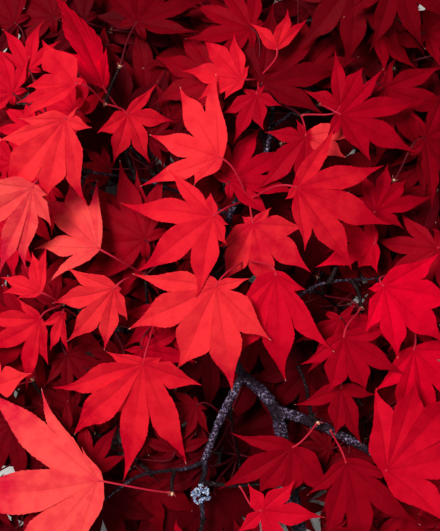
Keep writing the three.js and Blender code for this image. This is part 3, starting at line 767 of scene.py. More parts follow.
class BladeGrid:
    """A blade's mesh in shares of its length: rings from the hub to the margin, on both faces."""

    painted_side_light = 0.3
    lobe_contrast = 0.3

    def __init__(self, plan: BladePlan, fineness: float, rings: int) -> None:
        """Lays out the grid.

        Args:
            plan: the outline.
            fineness: the share of the lobes' teeth that are made.
            rings: the number of rings from the hub to the margin.
        """
        self.plan, self.rings = plan, rings
        margin = plan.margin(fineness)
        self.out = (np.arange(1, rings + 1) / rings)[:, None] ** 0.85
        self.along, self.aside = self.out * margin["along"], self.out * margin["aside"]
        self.turn, self.free, self.lobe = margin["turn"], margin["free"], margin["lobe"].astype(int)
        self.faces = self._faces(len(self.turn))
        flat = np.stack([self.along, np.abs(self.aside)], axis=-1).reshape(-1, 2)
        inner = flat[: (rings - 1) * len(self.turn)]
        self.uv = np.vstack([[0, 0], [0, 0], flat[-len(self.turn) :], inner, inner])
        reach = np.array([lobe.reach for lobe in plan.lobes])[self.lobe]
        self.tip = self._spread(self.along / reach, 0.0)
        numbers = range(len(plan.lobes))
        farthest = [np.where(self.lobe == number, margin["along"], 0).argmax() for number in numbers]
        self.tips = np.array(farthest) + 2
        self.lobes = self._spread(np.broadcast_to(self.lobe, self.along.shape), 0).astype(int)

    def _faces(self, columns: int) -> list[np.ndarray]:
        """Numbers the faces: two hubs, the shared margin, then the inner rings of the top and the bottom."""
        inner = np.arange((self.rings - 1) * columns).reshape(self.rings - 1, columns) + 2 + columns
        margin = np.arange(columns)[None] + 2
        top = np.vstack([inner, margin])
        bottom = np.vstack([inner + inner.size, margin])
        quads, fans = [], []
        for rings, hub, flip in ((top, 0, False), (bottom, 1, True)):
            on = np.roll(rings, -1, axis=1)
            quad = np.stack([rings[:-1], rings[1:], on[1:], on[:-1]], axis=-1).reshape(-1, 4)
            fan = np.stack([np.full(columns, hub), rings[0], on[0]], axis=-1)
            quads.append(quad[:, ::-1] if flip else quad)
            fans.append(fan[:, ::-1] if flip else fan)
        return [np.vstack(quads), np.vstack(fans)]

    def _spread(self, values: np.ndarray, hub: float) -> np.ndarray:
        """Puts a number that each ring's points have in the vertices' order, with one for the hubs."""
        inner = values[: self.rings - 1].ravel()
        return np.concatenate([[hub, hub], values[-1], inner, inner])

    def shades(self, middle: float, sunny: np.ndarray, run: SeededRun) -> np.ndarray:
        """Gives each vertex its place in the tint's range: the blade's own, moved lobe by lobe.

        The half of a folded lobe that faces the sunny side gets painted light, and the other half painted
        shade.
        A lobe painted lit up goes on to 2.

        Args:
            middle: the blade's own place in the range.
            sunny: the level direction of the sunny side in the blade's own axes.
            run: the blade's own random run.

        Returns:
            The place for each vertex.
        """
        apart = np.array([run.either(self.lobe_contrast) for _ in self.plan.lobes])[self.lobe]
        lit = np.array([lobe.lit for lobe in self.plan.lobes])[self.lobe] * np.minimum(1, self.along / 0.1)
        hand = np.clip(self.aside / 0.03, -1, 1)
        painted_sun_side = (np.sin(self.turn) * sunny[0] - np.cos(self.turn) * sunny[1]) * hand
        placed = middle + apart * np.minimum(1, self.along / 0.3) + self.painted_side_light * painted_sun_side
        return self._spread(np.maximum(np.clip(placed, 0, 1), 2 * lit), middle)

    def points(self, length: float, pleat: float, run: SeededRun) -> np.ndarray:
        """Shapes one blade.

        Its height is the sag with the square of the distance from the hub, a fold up on both sides of each
        midrib, and a ripple on the margin. Past its root each lobe runs on along an arc of its own bend b: at
        a distance d past the root it has come sin(b d) / b forwards and (1 - cos(b d)) / b down. Two curled
        lobes at the heel bend the most. A lobe also swings to one side with d squared, or, where its tip is
        known, bows to one side with d times what is left to the tip.

        Args:
            length: the middle lobe's length.
            pleat: the slope of the fold on each side of a midrib.
            run: the blade's own random run.

        Returns:
            The points in the blade's own axes, in millimetres.
        """
        lobes, curled = self.plan.lobes, self.plan.curled_heel
        swing = np.array([run.either(0.55 if curled else 0.3) for _ in lobes])[self.lobe]
        bends = [0.1 + run.either(0.42) for _ in lobes]
        roots = [min(0.4, 0.5 * lobe.reach) for lobe in lobes]
        if curled:
            bends[0], bends[-1], roots[0], roots[-1] = run.between(2, 9), run.between(2, 9), 0.1, 0.1
        bend = np.array([value if abs(value) > 0.02 else 0.02 for value in bends])[self.lobe]
        beyond = np.maximum(0, self.along - np.array(roots)[self.lobe])
        along = self.along - beyond + np.sin(bend * beyond) / bend
        aside = self.aside * (1 + (run.between(0.88, 1.14) - 1) * self.free)
        full = np.array([lobe.reach - root for lobe, root in zip(lobes, roots)])[self.lobe]
        turn = self.turn + swing * (beyond**2 if curled else 0.64 * beyond * (full - beyond) / full**2)
        x = along * np.cos(turn) - aside * np.sin(turn)
        y = along * np.sin(turn) + aside * np.cos(turn)
        fade = self.along**2 / (self.along**2 + 0.02)
        height = -self.plan.sag * (x * x + y * y) + pleat * (np.abs(aside) - 0.035) * fade
        height = height - (1 - np.cos(bend * beyond)) / bend + run.either(0.07) * np.abs(y)
        ripple = np.sin(self.along * 46 + self.lobe * 2.1 + run.next() * 6) * 0.006
        height = height + ripple * self.out**5 * np.minimum(1, np.abs(self.aside) / 0.05)
        flat = np.stack([x, y, height], axis=-1) * length
        thick = np.zeros_like(flat)
        thick[..., 2] = self.plan.thickness / 2 * np.minimum(1, (1 - self.out**4) * 3)
        hub = np.array([[0, 0, self.plan.thickness / 2], [0, 0, -self.plan.thickness / 2]])
        inner = slice(0, self.rings - 1)
        upper = (flat + thick)[inner].reshape(-1, 3)
        lower = (flat - thick)[inner].reshape(-1, 3)
        return np.vstack([hub, flat[-1], upper, lower])


# Limbs, sprays and the rule that lays the leaves


@dataclass(frozen=True)
class Limb:
    """A limb: the places that its middle line runs through, and its radii at both ends.

    It shows bare past bare_from along +Y. Its bark takes the share bark of its radii.
    """

    name: str
    route: tuple
    radii: tuple[float, float]
    bare_from: float = math.inf
    bark: float = 1.0


LIMBS = (
    Limb("main_stem", (
        (52, -198, 6), (45, -152, 20), (36, -108, 37), (29.5, -77, 48), (22, -67, 51), (12, -58, 54),
    ), radii=(4.3, 3.0), bare_from=-95),
    Limb("leader_bough", (
        (12, -58, 54), (6.5, -46, 56), (5, -17, 58), (4, 22, 58),
        (11, 38, 58), (24, 59, 56), (27, 74, 54), (29, 112, 48),
    ), radii=(2.8, 1.0), bark=0.85),
    Limb("left_bough", (
        (12, -58, 54), (0, -81, 56), (-5.5, -95, 57), (-8.5, -103, 57),
    ), radii=(2.3, 1.8), bare_from=PICTURE_FOOT),
    Limb("right_bough", (
        (29.5, -77, 48), (46, -82, 52), (61, -88, 55), (83, -100, 57),
    ), radii=(2.6, 1.6), bare_from=PICTURE_FOOT, bark=1.15),
    Limb("low_left_bough", (
        (-8.5, -103, 57), (-17, -106.5, 56), (-42, -111, 53), (-62.5, -125, 50),
    ), radii=(1.5, 0.9), bare_from=PICTURE_FOOT, bark=0.74),
    Limb("low_bough", (
        (-8.5, -103, 57), (-8, -109, 56), (-10, -115, 55), (-9, -134, 50),
    ), radii=(1.5, 1.1), bare_from=PICTURE_FOOT),
    Limb("right_side_bough", (
        (5.6, -30, 57.3), (24, -24, 54), (39, -17.5, 52), (54.5, -9.5, 51), (81.5, -7, 50),
    ), radii=(1.5, 1.0), bare_from=PICTURE_FOOT, bark=0.62),
    Limb("left_side_bough", (
        (6, -38, 56.7), (-8, -38, 53), (-27, -37.5, 50), (-47.5, -35.5, 48), (-68.5, -33, 46),
    ), radii=(1.3, 0.9), bark=0.66),
    Limb("upper_left_bough", (
        (5.5, 26, 58), (-20, 38, 55), (-42.5, 45.5, 53), (-68.5, 49.5, 50),
    ), radii=(1.3, 0.9), bark=0.7),
    Limb("upper_right_bough", (
        (27, 73, 54.2), (32, 76, 56), (38, 80.5, 57),
    ), radii=(1.2, 0.9), bark=0.8),
)
LIMB_NAMED = {limb.name: limb for limb in LIMBS}

# The way of the bare twig that stands up from the right bough.
BARE_TWIG = ((51.3, -83.8, 53), (48.3, -79, 57), (44.4, -61.4, 60), (40.6, -52.3, 62))


@dataclass(frozen=True)
class Spray:
    """A spray: the way that its own twig takes from its limb's middle line, and its leaves' two tints."""

    name: str
    path: tuple
    tones: tuple[Tone, Tone] = (Tone.CRIMSON, Tone.GARNET)

    @property
    def under(self) -> bool:
        """Whether the spray hangs under the limbs."""
        return self.name.startswith("under_")


# Tint pairs dealt out by spray. The last two are partly painted shade: they go to the sprays that hang under
# the limbs or lie in the crown's dim places.
MID = (Tone.CRIMSON, Tone.GARNET)
COOL = (Tone.GARNET, Tone.MAROON)
DIM = (Tone.MAROON, Tone.SHADE)
DARK_AND_SHADED = (Tone.SHADE, Tone.WINE)

SPRAYS = (
    Spray("crown_spray", ((6.5, 31, 58), (12, 33.5, 62), (15, 34.5, 64)), COOL),
    Spray("middle_spray", ((4.4, 4, 58), (9, 5, 63), (13, 3, 65)), COOL),
    Spray("top_middle_spray", ((27.8, 86, 52.4), (24, 89, 57), (20, 97, 60)), DIM),
    Spray("top_right_spray", ((38.2, 80.7, 57), (42.5, 78.5, 59), (52, 84, 60)), DIM),
    Spray("top_edge_spray", ((29.1, 112.2, 48), (42, 127, 50), (58, 134, 52)), DIM),
    Spray("top_left_spray", ((-44, 45.8, 52.8), (-49, 58, 56), (-50, 78, 60)), DIM),
    Spray("upper_left_spray", ((-68.7, 49.5, 50), (-78, 53, 54), (-84, 62, 56)), MID),
    Spray("left_middle_spray", ((-35, -36.8, 49.2), (-38, -20.5, 54), (-39, -5, 58)), DIM),
    Spray("left_spray", ((-68.7, -33, 46), (-75, -27, 52), (-77, -23, 56)), MID),
    Spray("low_left_spray", ((-31, -37.2, 49.6), (-32.5, -32, 55), (-33.5, -28.5, 60)), COOL),
    Spray("corner_left_spray", ((-24, -107.8, 55), (-25, -113, 60), (-25, -118, 63)), COOL),
    Spray("far_low_left_spray", ((-62.7, -125.2, 50), (-76, -130, 51), (-88, -122, 53)), COOL),
    Spray("foot_spray", ((-9, -134.2, 50), (-10, -146, 48), (-4, -155, 48)), DIM),
    Spray("low_middle_spray", ((-9.8, -114.4, 55.1), (10, -116, 54), (37, -113.5, 54)), DIM),
    Spray("crotch_spray", ((47, -82.3, 52.2), (49, -80, 57), (51, -82, 60)), COOL),
    Spray("low_right_spray", ((83.2, -100.1, 57), (90, -106, 60), (98, -118, 60)), COOL),
    Spray("right_spray", ((82.4, -7.4, 50.2), (94, -4, 53), (106, 3, 55)), COOL),
    Spray("right_middle_spray", ((70, -8, 50.4), (73, -14, 54), (74, -22, 58)), COOL),
    Spray("upper_right_spray", ((58, -9.2, 50.9), (66, 8, 53), (76, 24, 55)), DIM),
    Spray("under_left_spray", ((-50, -35.3, 47.8), (-58, -32, 38), (-66, -24, 28)), DIM),
    Spray("under_middle_spray", ((4.6, -8, 58), (-2, -4, 44), (-8, 4, 30)), DARK_AND_SHADED),
    Spray("under_right_spray", ((48, -12.8, 51.4), (56, -16, 40), (64, -22, 28)), DARK_AND_SHADED),
    Spray("under_top_spray", ((24.6, 61, 55.8), (22, 72, 42), (24, 84, 28)), DARK_AND_SHADED),
    Spray("under_top_left_spray", ((-30, 41.3, 54.2), (-38, 52, 42), (-50, 66, 28)), DARK_AND_SHADED),
    Spray("under_top_right_spray", ((28.6, 104, 49.3), (42, 98, 40), (66, 92, 28)), DARK_AND_SHADED),
    Spray("under_low_right_spray", ((66, -90.6, 55.6), (72, -88, 42), (80, -84, 28)), DIM),
    Spray("under_low_left_spray", ((-36, -110.1, 53.8), (-46, -104, 42), (-58, -96, 28)), DARK_AND_SHADED),
    Spray("under_foot_spray", ((5, -71.6, 55.1), (6, -84, 42), (10, -104, 28)), DARK_AND_SHADED),
)
SPRAY_NAMED = {spray.name: spray for spray in SPRAYS}

# The leaves that face upwards on top, lowest first: spray, place of the heel, heading in degrees from +X,
# length of the middle lobe, pitch, roll, lift above the twig's end and tint. Then, for each lobe, where the
# eye sees its tip from the heel, its half-width and, on a few, how far it is lit up. A leaf with no lobes of
# its own has the plain outline.
# Each tint is partly the leaf's own colour and partly painted light and shade, set for how lit each leaf
# lies.
FACING_LEAVES = (
    ("right_spray", 113, 9, -150, 37, 14, 12, 6, Tone.MAROON, ()),
    ("upper_right_spray", 80, 11, -152, 38, 12, -6, 4, Tone.ROSE, (
        (-32.5, -12, 5.5), (-1, -15, 3), (-11, -12, 5), (-27, 12, 5), (-6, 16, 3.5),
    )),
    ("upper_right_spray", 80, 28, 58, 31, 8, 8, 6, Tone.GARNET, (
        (-9, 19, 4), (4, 23, 4), (13, 15, 4), (26, 7, 4.5), (-16, 6, 3.5), (12, -10, 3.5),
    )),
    ("top_right_spray", 62, 82, 75, 32, 6, 0, 4, Tone.GARNET, (
        (-20, 6, 4), (-4.5, 26, 3.6), (9.5, 17, 4.5), (20, 8, 4),
    )),
    ("right_middle_spray", 63, -64, -90, 31, 10, 0, 0, Tone.MAROON, (
        (-26, -5.5, 4.5), (-5.5, -21, 6), (8, -26, 4.5), (16, 0, 3.5),
    )),
    ("crotch_spray", 37.5, -94.5, -157, 45, 8, 8, 2, Tone.MAROON, (
        (-32.3, 11.2, 4), (-38.5, -17.5, 7.5), (-18, -20, 7), (-2, -21, 6.5), (20, -21, 7),
    )),
    ("low_middle_spray", 22, -127, 32, 32, 6, 6, 4, Tone.CRIMSON, (
        (15.5, 20, 4.5), (30.5, 1, 5.5), (13, -22, 4.5), (-8, 18, 4), (-14, -8, 3.5),
    )),
    ("left_spray", -94, -28, -108, 38, 12, 10, 4, Tone.RED, (
        (-7.5, 11.5, 2.6), (-26, 3, 4.5), (-24, -17, 5), (-3, -35, 5.5), (8, -22, 3),
    )),
    ("left_spray", -81, -24.5, -88, 21, 14, 0, 4, Tone.RED, (
        (-4, -18.5, 3), (5, -19, 2.6), (-9, -6, 2.5), (4.5, -3, 1.6),
    )),
    ("right_spray", 101, -44, -110, 46, 12, -8, 6, Tone.ROSE, (
        (-13, -36, 6), (-24, -19, 5), (4, -42, 6.5), (24, -26, 5.5), (28, 2, 5),
    )),
    ("right_middle_spray", 63, -36.5, -92, 39, 12, -6, 6, Tone.GARNET, (
        (-9, -27, 7), (9.5, -27, 6.5), (29, -17.5, 5.5), (-23, -13, 4.5), (24, 5, 4.5),
    )),
    ("top_left_spray", -47.5, 78, -55, 32, 12, -12, 8, Tone.RED, (
        (24.5, -6, 4.2), (13, -27, 4.2), (16, 13, 2.6), (-5.5, -27, 4.5), (-14, -12, 4),
    )),
    ("top_left_spray", -60, 92, 118, 48, 4, 34, 12, Tone.ROSE, (
        (-28, 48, 9.5), (-20, 16, 5), (3, 17, 3), (2, -4, 2),
    )),
    ("top_right_spray", 44, 66, -86, 41, 12, 14, 8, Tone.GARNET, (
        (-26.5, -28.5, 6), (30, 4.5, 5, 0.9), (-22, 0.5, 4), (19, -12, 5, 0.8), (-3, -29, 5), (-6, 7, 2),
    )),
    ("top_right_spray", 61, 76.5, -27, 44, 12, 4, 10, Tone.GARNET, (
        (38, -20.5, 6.5), (42, 8, 5), (14.5, -24.5, 5), (21, 22, 4), (-8, -15, 3),
    )),
    ("top_middle_spray", 18.5, 87.5, -112, 30, 12, 0, 8, Tone.GARNET, (
        (-12, -27, 4), (3.5, -20, 4), (12.5, -7.5, 3.2), (-18, -11.5, 3.6), (4, 3, 1.6), (-8, 1, 1.8),
    )),
    ("top_middle_spray", 29, 111, 105, 25, 4, 22, 14, Tone.RED, (
        (-14.4, 10.2, 4.4), (4.8, 17.5, 3.6), (14.7, 12.6, 3),
    )),
    ("top_middle_spray", 11, 95, 175, 31, 8, 8, 12, Tone.RED, (
        (-30, 2, 5), (-20.5, 19.5, 4.6), (-3.5, 22, 3.2), (3.5, 5, 1.6), (-22, -12.5, 3.8), (-9, -12, 2.8),
    )),
    ("top_left_spray", -71, 89, 176, 36, 12, 10, 14, Tone.RED, (
        (-18, 24, 8), (-26, 0, 5), (-31, -8, 3.4), (-32, -17, 4), (3, 4, 2),
    )),
    ("upper_left_spray", -75, 70.5, -134, 45, 14, -6, 14, Tone.SCARLET, (
        (-35.5, -8, 6), (-35, -36, 9), (-13, -38, 7), (9, -41, 5),
        (11, -1.5, 3.2), (4, 9, 1.6), (-25, 3, 4),
    )),
    ("left_middle_spray", -62, 9, 152, 38, 6, 26, 14, Tone.CORAL, (
        (0.5, 34, 2.8), (-13, 32, 6), (-27, 25, 7), (-31, -1, 6), (-25, -19, 3.4),
    )),
    ("upper_left_spray", -92, 38, -114, 43, 16, -4, 14, Tone.CORAL, (
        (-5, -40, 4.4), (-18, -42, 5.4), (7.5, -18.5, 3.6), (-35, -20, 5.6), (-30, 4, 4.6), (6, -3, 2),
    )),
    ("left_spray", -89, -13, 160, 27, 6, 20, 12, Tone.RED, (
        (2, 23, 2.6), (-5, 20, 3.6), (-21, 7, 4.6), (-20, -1, 3), (-13, -4, 2),
    )),
    ("left_middle_spray", -53, -11.5, -131, 36, 12, -4, 14, Tone.SCARLET, (
        (-24, 10.5, 4.2), (-31, -7.5, 5.4), (-23.5, -26.5, 5.4), (-5, -31, 4.6), (6.5, -16, 3), (4, 0, 1.6),
    )),
    ("crown_spray", -0.5, 55, 160, 42, 8, 6, 10, Tone.SCARLET, (
        (-35, 10.5, 6), (-19.5, 34.5, 6.6), (-1.5, 41, 5), (-39.5, -15.5, 5), (-12.5, -15, 4.4),
    )),
    ("crown_spray", 17, 21.5, -74, 40, 12, 4, 8, Tone.SCARLET, (
        (9, 7.5, 2.2), (26, -2, 4.6), (28.5, -25, 6), (7, -36, 6),
        (-15, -30.5, 6), (-18, -12.5, 4), (-6, 3, 2),
    )),
    ("middle_spray", 28, -5, -85, 52, 14, 14, 10, Tone.CRIMSON, (
        (5, -53, 7.4), (29.5, -38.5, 6.6), (15, -7.5, 3), (-20, -41, 6.4), (-22, -18, 5),
    )),
    ("middle_spray", -2, -10.5, -116, 52, 12, -4, 12, Tone.SCARLET, (
        (-19.5, -41, 9), (-44, -21.5, 8), (-42, 6.5, 5), (8, -52.5, 8),
        (27.5, -27, 7), (17, 4, 2.8), (-9, 8, 2.6),
    )),
    ("crown_spray", -3.5, 24.5, -145, 47, 12, -8, 14, Tone.RED, (
        (-38.5, -27.5, 8), (-46.5, 7, 6.6), (-23, 24, 4.4), (-1.5, 12, 3.2),
        (-8.5, -41, 7.4), (7, -14, 3.4), (8, -4, 2),
    )),
    ("crown_spray", 38, 38.5, -20, 50, 12, 2, 12, Tone.RED, (
        (47.5, -18, 8), (28, -41, 7.6), (4.3, -31.5, 4.6),
        (-5.5, -5.5, 2.2), (44, 11.5, 6.4), (20, 32.5, 5),
    )),
    ("right_spray", 82.5, -10.5, -44, 47, 12, 0, 12, Tone.ROSE, (
        (29.5, -29, 7), (6.5, -36, 6.4), (-9.5, -23, 4.4),
        (27.5, 16.5, 6), (37, -5.5, 6.6), (-8.5, -1, 2.2),
    )),
    ("low_left_spray", -39, -50, -100, 57, 14, 0, 14, Tone.RED, (
        (-9.5, -58, 7.6), (22, -49.5, 8.4), (30, -10, 7), (10, 4, 2.6),
        (-34, -35, 9), (-45, -11, 6.4), (-18, 7, 3.2),
    )),
    ("low_middle_spray", 64.5, -101, -74, 48, 12, 0, 8, Tone.MAROON, (
        (23.5, -3, 4), (36, -29, 7), (10, -42, 7.5), (-11, -36, 6.5), (-21, -14, 4),
    )),
    ("low_right_spray", 85, -104, 25, 52, 6, -8, 12, Tone.CRIMSON, (
        (-7, 43, 8), (13, 47, 9), (34, 42, 9), (50, 12, 9), (34, -26, 8),
    )),
    ("corner_left_spray", -62.5, -110, 174, 62, 2, 4, 9, Tone.CORAL, (
        (-6.5, 19.5, 3.5), (-26.8, 48.8, 4.6), (-59, 52, 11), (-73, -13, 11), (-44, -50, 12), (-13, -40, 7),
    )),
    ("far_low_left_spray", -116, -62, 40, 36, 6, 10, 10, Tone.SCARLET, (
        (21.5, 8, 7.5), (-4, 24, 6), (-24, 22, 5), (-34, 0, 5),
    )),
    ("foot_spray", -18, -146, -104, 41, 8, 0, 4, Tone.GARNET, ()),
    ("top_edge_spray", 68, 146, -90, 46, 16, 6, 10, Tone.SHADE, ()),
    ("top_edge_spray", 88, 146, -68, 42, 14, -6, 12, Tone.SHADE, ()),
)


# The places that a side twig takes to a facing leaf far from its spray. With none, the stalk is a long one.
TWIG_WAYS = {"far_low_left_spray": ((-92, -76, 48), (-99, -61, 53)), "corner_left_spray": ()}

# Where a stalk leaves a bough itself, by the spray that its leaf belongs to.
STALKS_ON_BOUGHS = {"low_middle_spray": (58, -86.5, 56)}


@dataclass
class Leaf:
    """A leaf's place: its heel, heading, length, pitch and roll, and the height that it would like."""

    x: float
    y: float
    heading: float
    length: float
    pitch: float
    roll: float
    height: float
    tier: Tier
    spray: str = ""
    tone: Tone | None = None
    tips: tuple = ()
    extra: bool = False
    z: float = 0.0
    stalk: np.ndarray | None = None

    def axes(self) -> np.ndarray:
        """Gives the blade's axes as rows: along its middle lobe, to its left, and out of its upper face."""
        turn, dip, roll = map(math.radians, (self.heading, self.pitch, self.roll))
        level = math.cos(dip)
        along = np.array([math.cos(turn) * level, math.sin(turn) * level, -math.sin(dip)])
        flat = np.array([-math.sin(turn), math.cos(turn), 0.0])
        aside = flat * math.cos(roll) + np.cross(along, flat) * math.sin(roll)
        return np.stack([along, aside, np.cross(along, aside)])

    def heel(self) -> np.ndarray:
        """Gives the place where the lobes meet."""
        return np.array([self.x, self.y, self.z])


def moved(x: float, y: float, heading: float, distance: float) -> tuple[float, float]:
    """Gives the place at a distance from another one, at a heading in degrees from +X."""
    turn = math.radians(heading)
    return x + distance * math.cos(turn), y + distance * math.sin(turn)


@dataclass(frozen=True)
class TierPlan:
    """One tier of leaves: how many are tried, how high at least, from which turn on, and how long they are.

    None is laid inside the inner share of the crown's half-size.
    """

    tier: Tier
    count: int
    height: float
    spin: float
    length: tuple[float, float]
    inner: float = 0.0


@dataclass(frozen=True)
class GapPlan:
    """How the gaps in the crown are closed.

    Attributes:
        ceiling: the height that a gap's leaf stays under where nothing hangs over it.
        tries: how many places are tried with each size.
        sizes: the shortest and the longest leaf of each size.
        least_open: how many open cells round a place make it a gap.
        drawn_in: how many cells a leaf's outline is drawn in before it counts as closing a gap.
        flat_half: the half-size inside which a leaf may lie flat on the surface.
        flat_reach: how far from the end of a low spray's twig it may lie flat too.
        flat_lift: the height of a flat leaf's lowest point.
        flat_room: the room that a flat leaf needs over it.
        flat_turns: how many headings are tried for it.
    """

    ceiling: float = 66.0
    tries: int = 420
    sizes: tuple = ((24, 36), (18, 28), (13, 20))
    least_open: int = 4
    drawn_in: float = 1.5
    flat_half: tuple[float, float] = (100, 118)
    flat_reach: float = 60.0
    flat_lift: float = 0.8
    flat_room: float = 2.0
    flat_turns: int = 9


@dataclass
class Crown:
    """Lays the leaves by the source's rule: a height map keeps each blade clear above what it covers.

    The maps have square cells. In them, top is how high each cell is filled, ceiling is what a low leaf stays
    under, shows is where a limb shows bare, and facing_cover is where a facing leaf will lie. The fields that
    start with extra are for the finer leaves, which only this model has.
    """

    cell: float = 2.5
    half_map: float = 230.0
    lap_gap: float = 2.6
    under_ceiling: float = 50.0
    middle_ceiling: float = 84.0
    most_covered: float = 0.45
    pitch_leans: tuple = (-12, -6, 0, 6, 12)
    roll_leans: tuple = (-12, 0, 12)
    lean_cost: float = 0.12
    turns: int = 4
    turn_step: float = 47
    middle: tuple[float, float] = (0, 4)
    half: tuple[float, float] = (124, 146)
    squareness: float = 2.6
    extra_half: tuple[float, float] = (128, 152)
    extra_squareness: float = 7.0
    scatter: float = 7
    outward: float = 0.8
    heading_spread: float = 38
    twig_radii: tuple[float, float] = (1.3, 0.8)
    stalk_length: float = 27
    stalk_reach: float = 38
    stalk_least: float = 13
    first_tint: float = 0.55
    heel: float = 0.05
    sag: float = 0.08
    seed: int = 20261
    extra_seed: int = 977
    stalk_seed: int = 982
    tiers: tuple = (
        TierPlan(Tier.UNDER, 24, 0, 0.4, (44, 56)),
        TierPlan(Tier.UNDER, 20, 17, 2.3, (44, 56)),
        TierPlan(Tier.MIDDLE, 44, 62, 4.0, (36, 50)),
    )
    extra_tiers: tuple = (
        TierPlan(Tier.UNDER, 60, 3, 2.0, (32, 42), 0.8),
        TierPlan(Tier.UNDER, 80, 6, 1.1, (34, 44)),
        TierPlan(Tier.UNDER, 110, 16, 5.2, (32, 42)),
        TierPlan(Tier.UNDER, 130, 26, 3.1, (28, 40)),
        TierPlan(Tier.UNDER, 90, 22, 0.7, (30, 38), 0.72),
    )
    between_tier: TierPlan = TierPlan(Tier.MIDDLE, 150, 56, 2.9, (24, 36))
    gaps: GapPlan = GapPlan()
    leaves: list[Leaf] = field(default_factory=list)
    twigs: list[tuple[str, np.ndarray]] = field(default_factory=list)

    def __post_init__(self) -> None:
        """Makes the empty maps and the outline that the rule tests."""
        side = math.ceil(2 * self.half_map / self.cell)
        self.top = np.full((side, side), -self.half_map)
        self.ceiling = np.full((side, side), self.under_ceiling)
        self.shows = np.zeros((side, side), bool)
        self.facing_cover = np.zeros((side, side), bool)
        self.outline = self._outline()
        self.reach = self._reach_table()

    def _outline(self) -> np.ndarray:
        """Gives the source's plain outline: a shoulder, a tip and a shoulder to each lobe, and the clefts."""
        lobes = (
            (128, 0.36, 0.2, 0.062),
            (73, 0.8, 0.52, 0.105),
            (36, 0.97, 0.63, 0.128),
            (0, 1.0, 0.64, 0.13),
        )
        clefts = ((101, 0.17), (54.5, 0.36), (18, 0.44))
        half = []
        for index, (turn, reach, along, aside) in enumerate(lobes):
            c, s = math.cos(math.radians(turn)), math.sin(math.radians(turn))
            half += [(along * c - aside * s, along * s + aside * c), (reach * c, reach * s)]
            if turn > 0:
                half += [(along * c + aside * s, along * s - aside * c), moved(0, 0, *clefts[index])]
        tip = half.pop()
        mirrored = [(u, -v) for u, v in half]
        return np.array([(-self.heel, 0), *mirrored, tip, *half[::-1]])

    def _reach_table(self) -> np.ndarray:
        """Gives how far the outline reaches from the hub at each whole degree: where a ray leaves it."""
        a, b = self.outline, np.roll(self.outline, -1, axis=0)
        turn = np.radians(np.arange(360))[:, None]
        rx, ry = np.cos(turn), np.sin(turn)
        before, after = rx * a[:, 1] - ry * a[:, 0], rx * b[:, 1] - ry * b[:, 0]
        ahead = (a[:, 0] + b[:, 0]) * rx + (a[:, 1] + b[:, 1]) * ry > 0
        hit = (before <= 0) & (after > 0) & ahead
        across = (b[:, 1] - a[:, 1]) * rx - (b[:, 0] - a[:, 0]) * ry
        reach = (a[:, 0] * b[:, 1] - b[:, 0] * a[:, 1]) / np.where(np.abs(across) < 1e-12, 1, across)
        return np.where(hit, reach, 0).max(axis=1)

    def footprint(self, leaf: Leaf) -> tuple[np.ndarray, np.ndarray, np.ndarray]:
        """Gives the rows and columns of the cells that a leaf covers, and its height there over its heel."""
        low = [math.floor((v - leaf.length + self.half_map) / self.cell) for v in (leaf.x, leaf.y)]
        high = [math.floor((v + leaf.length + self.half_map) / self.cell) for v in (leaf.x, leaf.y)]
        column, row = np.meshgrid(np.arange(low[0], high[0] + 1), np.arange(low[1], high[1] + 1))
        dx = (column + 0.5) * self.cell - self.half_map - leaf.x
        dy = (row + 0.5) * self.cell - self.half_map - leaf.y
        along, aside, face = leaf.axes()
        spread = along[0] * aside[1] - aside[0] * along[1]
        u = (dx * aside[1] - aside[0] * dy) / spread
        v = (along[0] * dy - dx * along[1]) / spread
        distance = np.hypot(u, v)
        degree = np.floor(np.degrees(np.arctan2(v, u)) + 0.5).astype(int) % 360
        inside = distance <= self.reach[degree] * leaf.length + self.cell / 2
        rise = u * along[2] + v * aside[2] - self.sag * distance**2 / leaf.length * face[2]
        return row[inside], column[inside], rise[inside]

    def resting_height(self, leaf: Leaf, rows: np.ndarray, columns: np.ndarray, rise: np.ndarray) -> float:
        """Gives how low a leaf can lie over the surface and what has been laid under it."""
        along, aside, face = leaf.axes()
        u, v = self.outline.T
        lowest = (u * along[2] + v * aside[2] - self.sag * (u * u + v * v) * face[2]) * leaf.length
        laid = self.top[rows, columns] - rise + self.lap_gap
        return max(leaf.height, -lowest.min(), laid.max())

    def settle(self, leaf: Leaf) -> bool:
        """Lays a leaf as low as it can lie, with the lean that suits its place.

        Args:
            leaf: the leaf, which gets its height, pitch and roll.

        Returns:
            Whether there is room for it.
        """
        best, pitch, roll = None, leaf.pitch, leaf.roll
        for lean_pitch, lean_roll in product(self.pitch_leans, self.roll_leans):
            leaf.pitch, leaf.roll = pitch + lean_pitch, roll + lean_roll
            rows, columns, rise = self.footprint(leaf)
            z = self.resting_height(leaf, rows, columns, rise)
            cost = z + rise.mean() + self.lean_cost * (abs(lean_pitch) + abs(lean_roll))
            if best is None or cost < best[0]:
                best = (cost, z, leaf.pitch, leaf.roll, rows, columns, rise)
        _, z, best_pitch, best_roll, rows, columns, rise = best
        leaf.pitch, leaf.roll = pitch, roll
        if (leaf.tier is Tier.UNDER or leaf.extra) and (z + rise > self.ceiling[rows, columns]).any():
            return False
        if leaf.tier is Tier.MIDDLE:
            hidden = self.facing_cover[rows, columns].sum() > self.most_covered * len(rows)
            if z > self.middle_ceiling or self.shows[rows, columns].any() or (hidden and not leaf.extra):
                return False
        np.maximum.at(self.top, (rows, columns), z + rise)
        leaf.z, leaf.pitch, leaf.roll = z, best_pitch, best_roll
        return True

    def _try_turns(self, leaf: Leaf) -> bool:
        """Settles a leaf at its own heading, or turned on until there is room."""
        for _ in range(self.turns):
            if self.settle(leaf):
                return True
            leaf.heading += self.turn_step
        return False

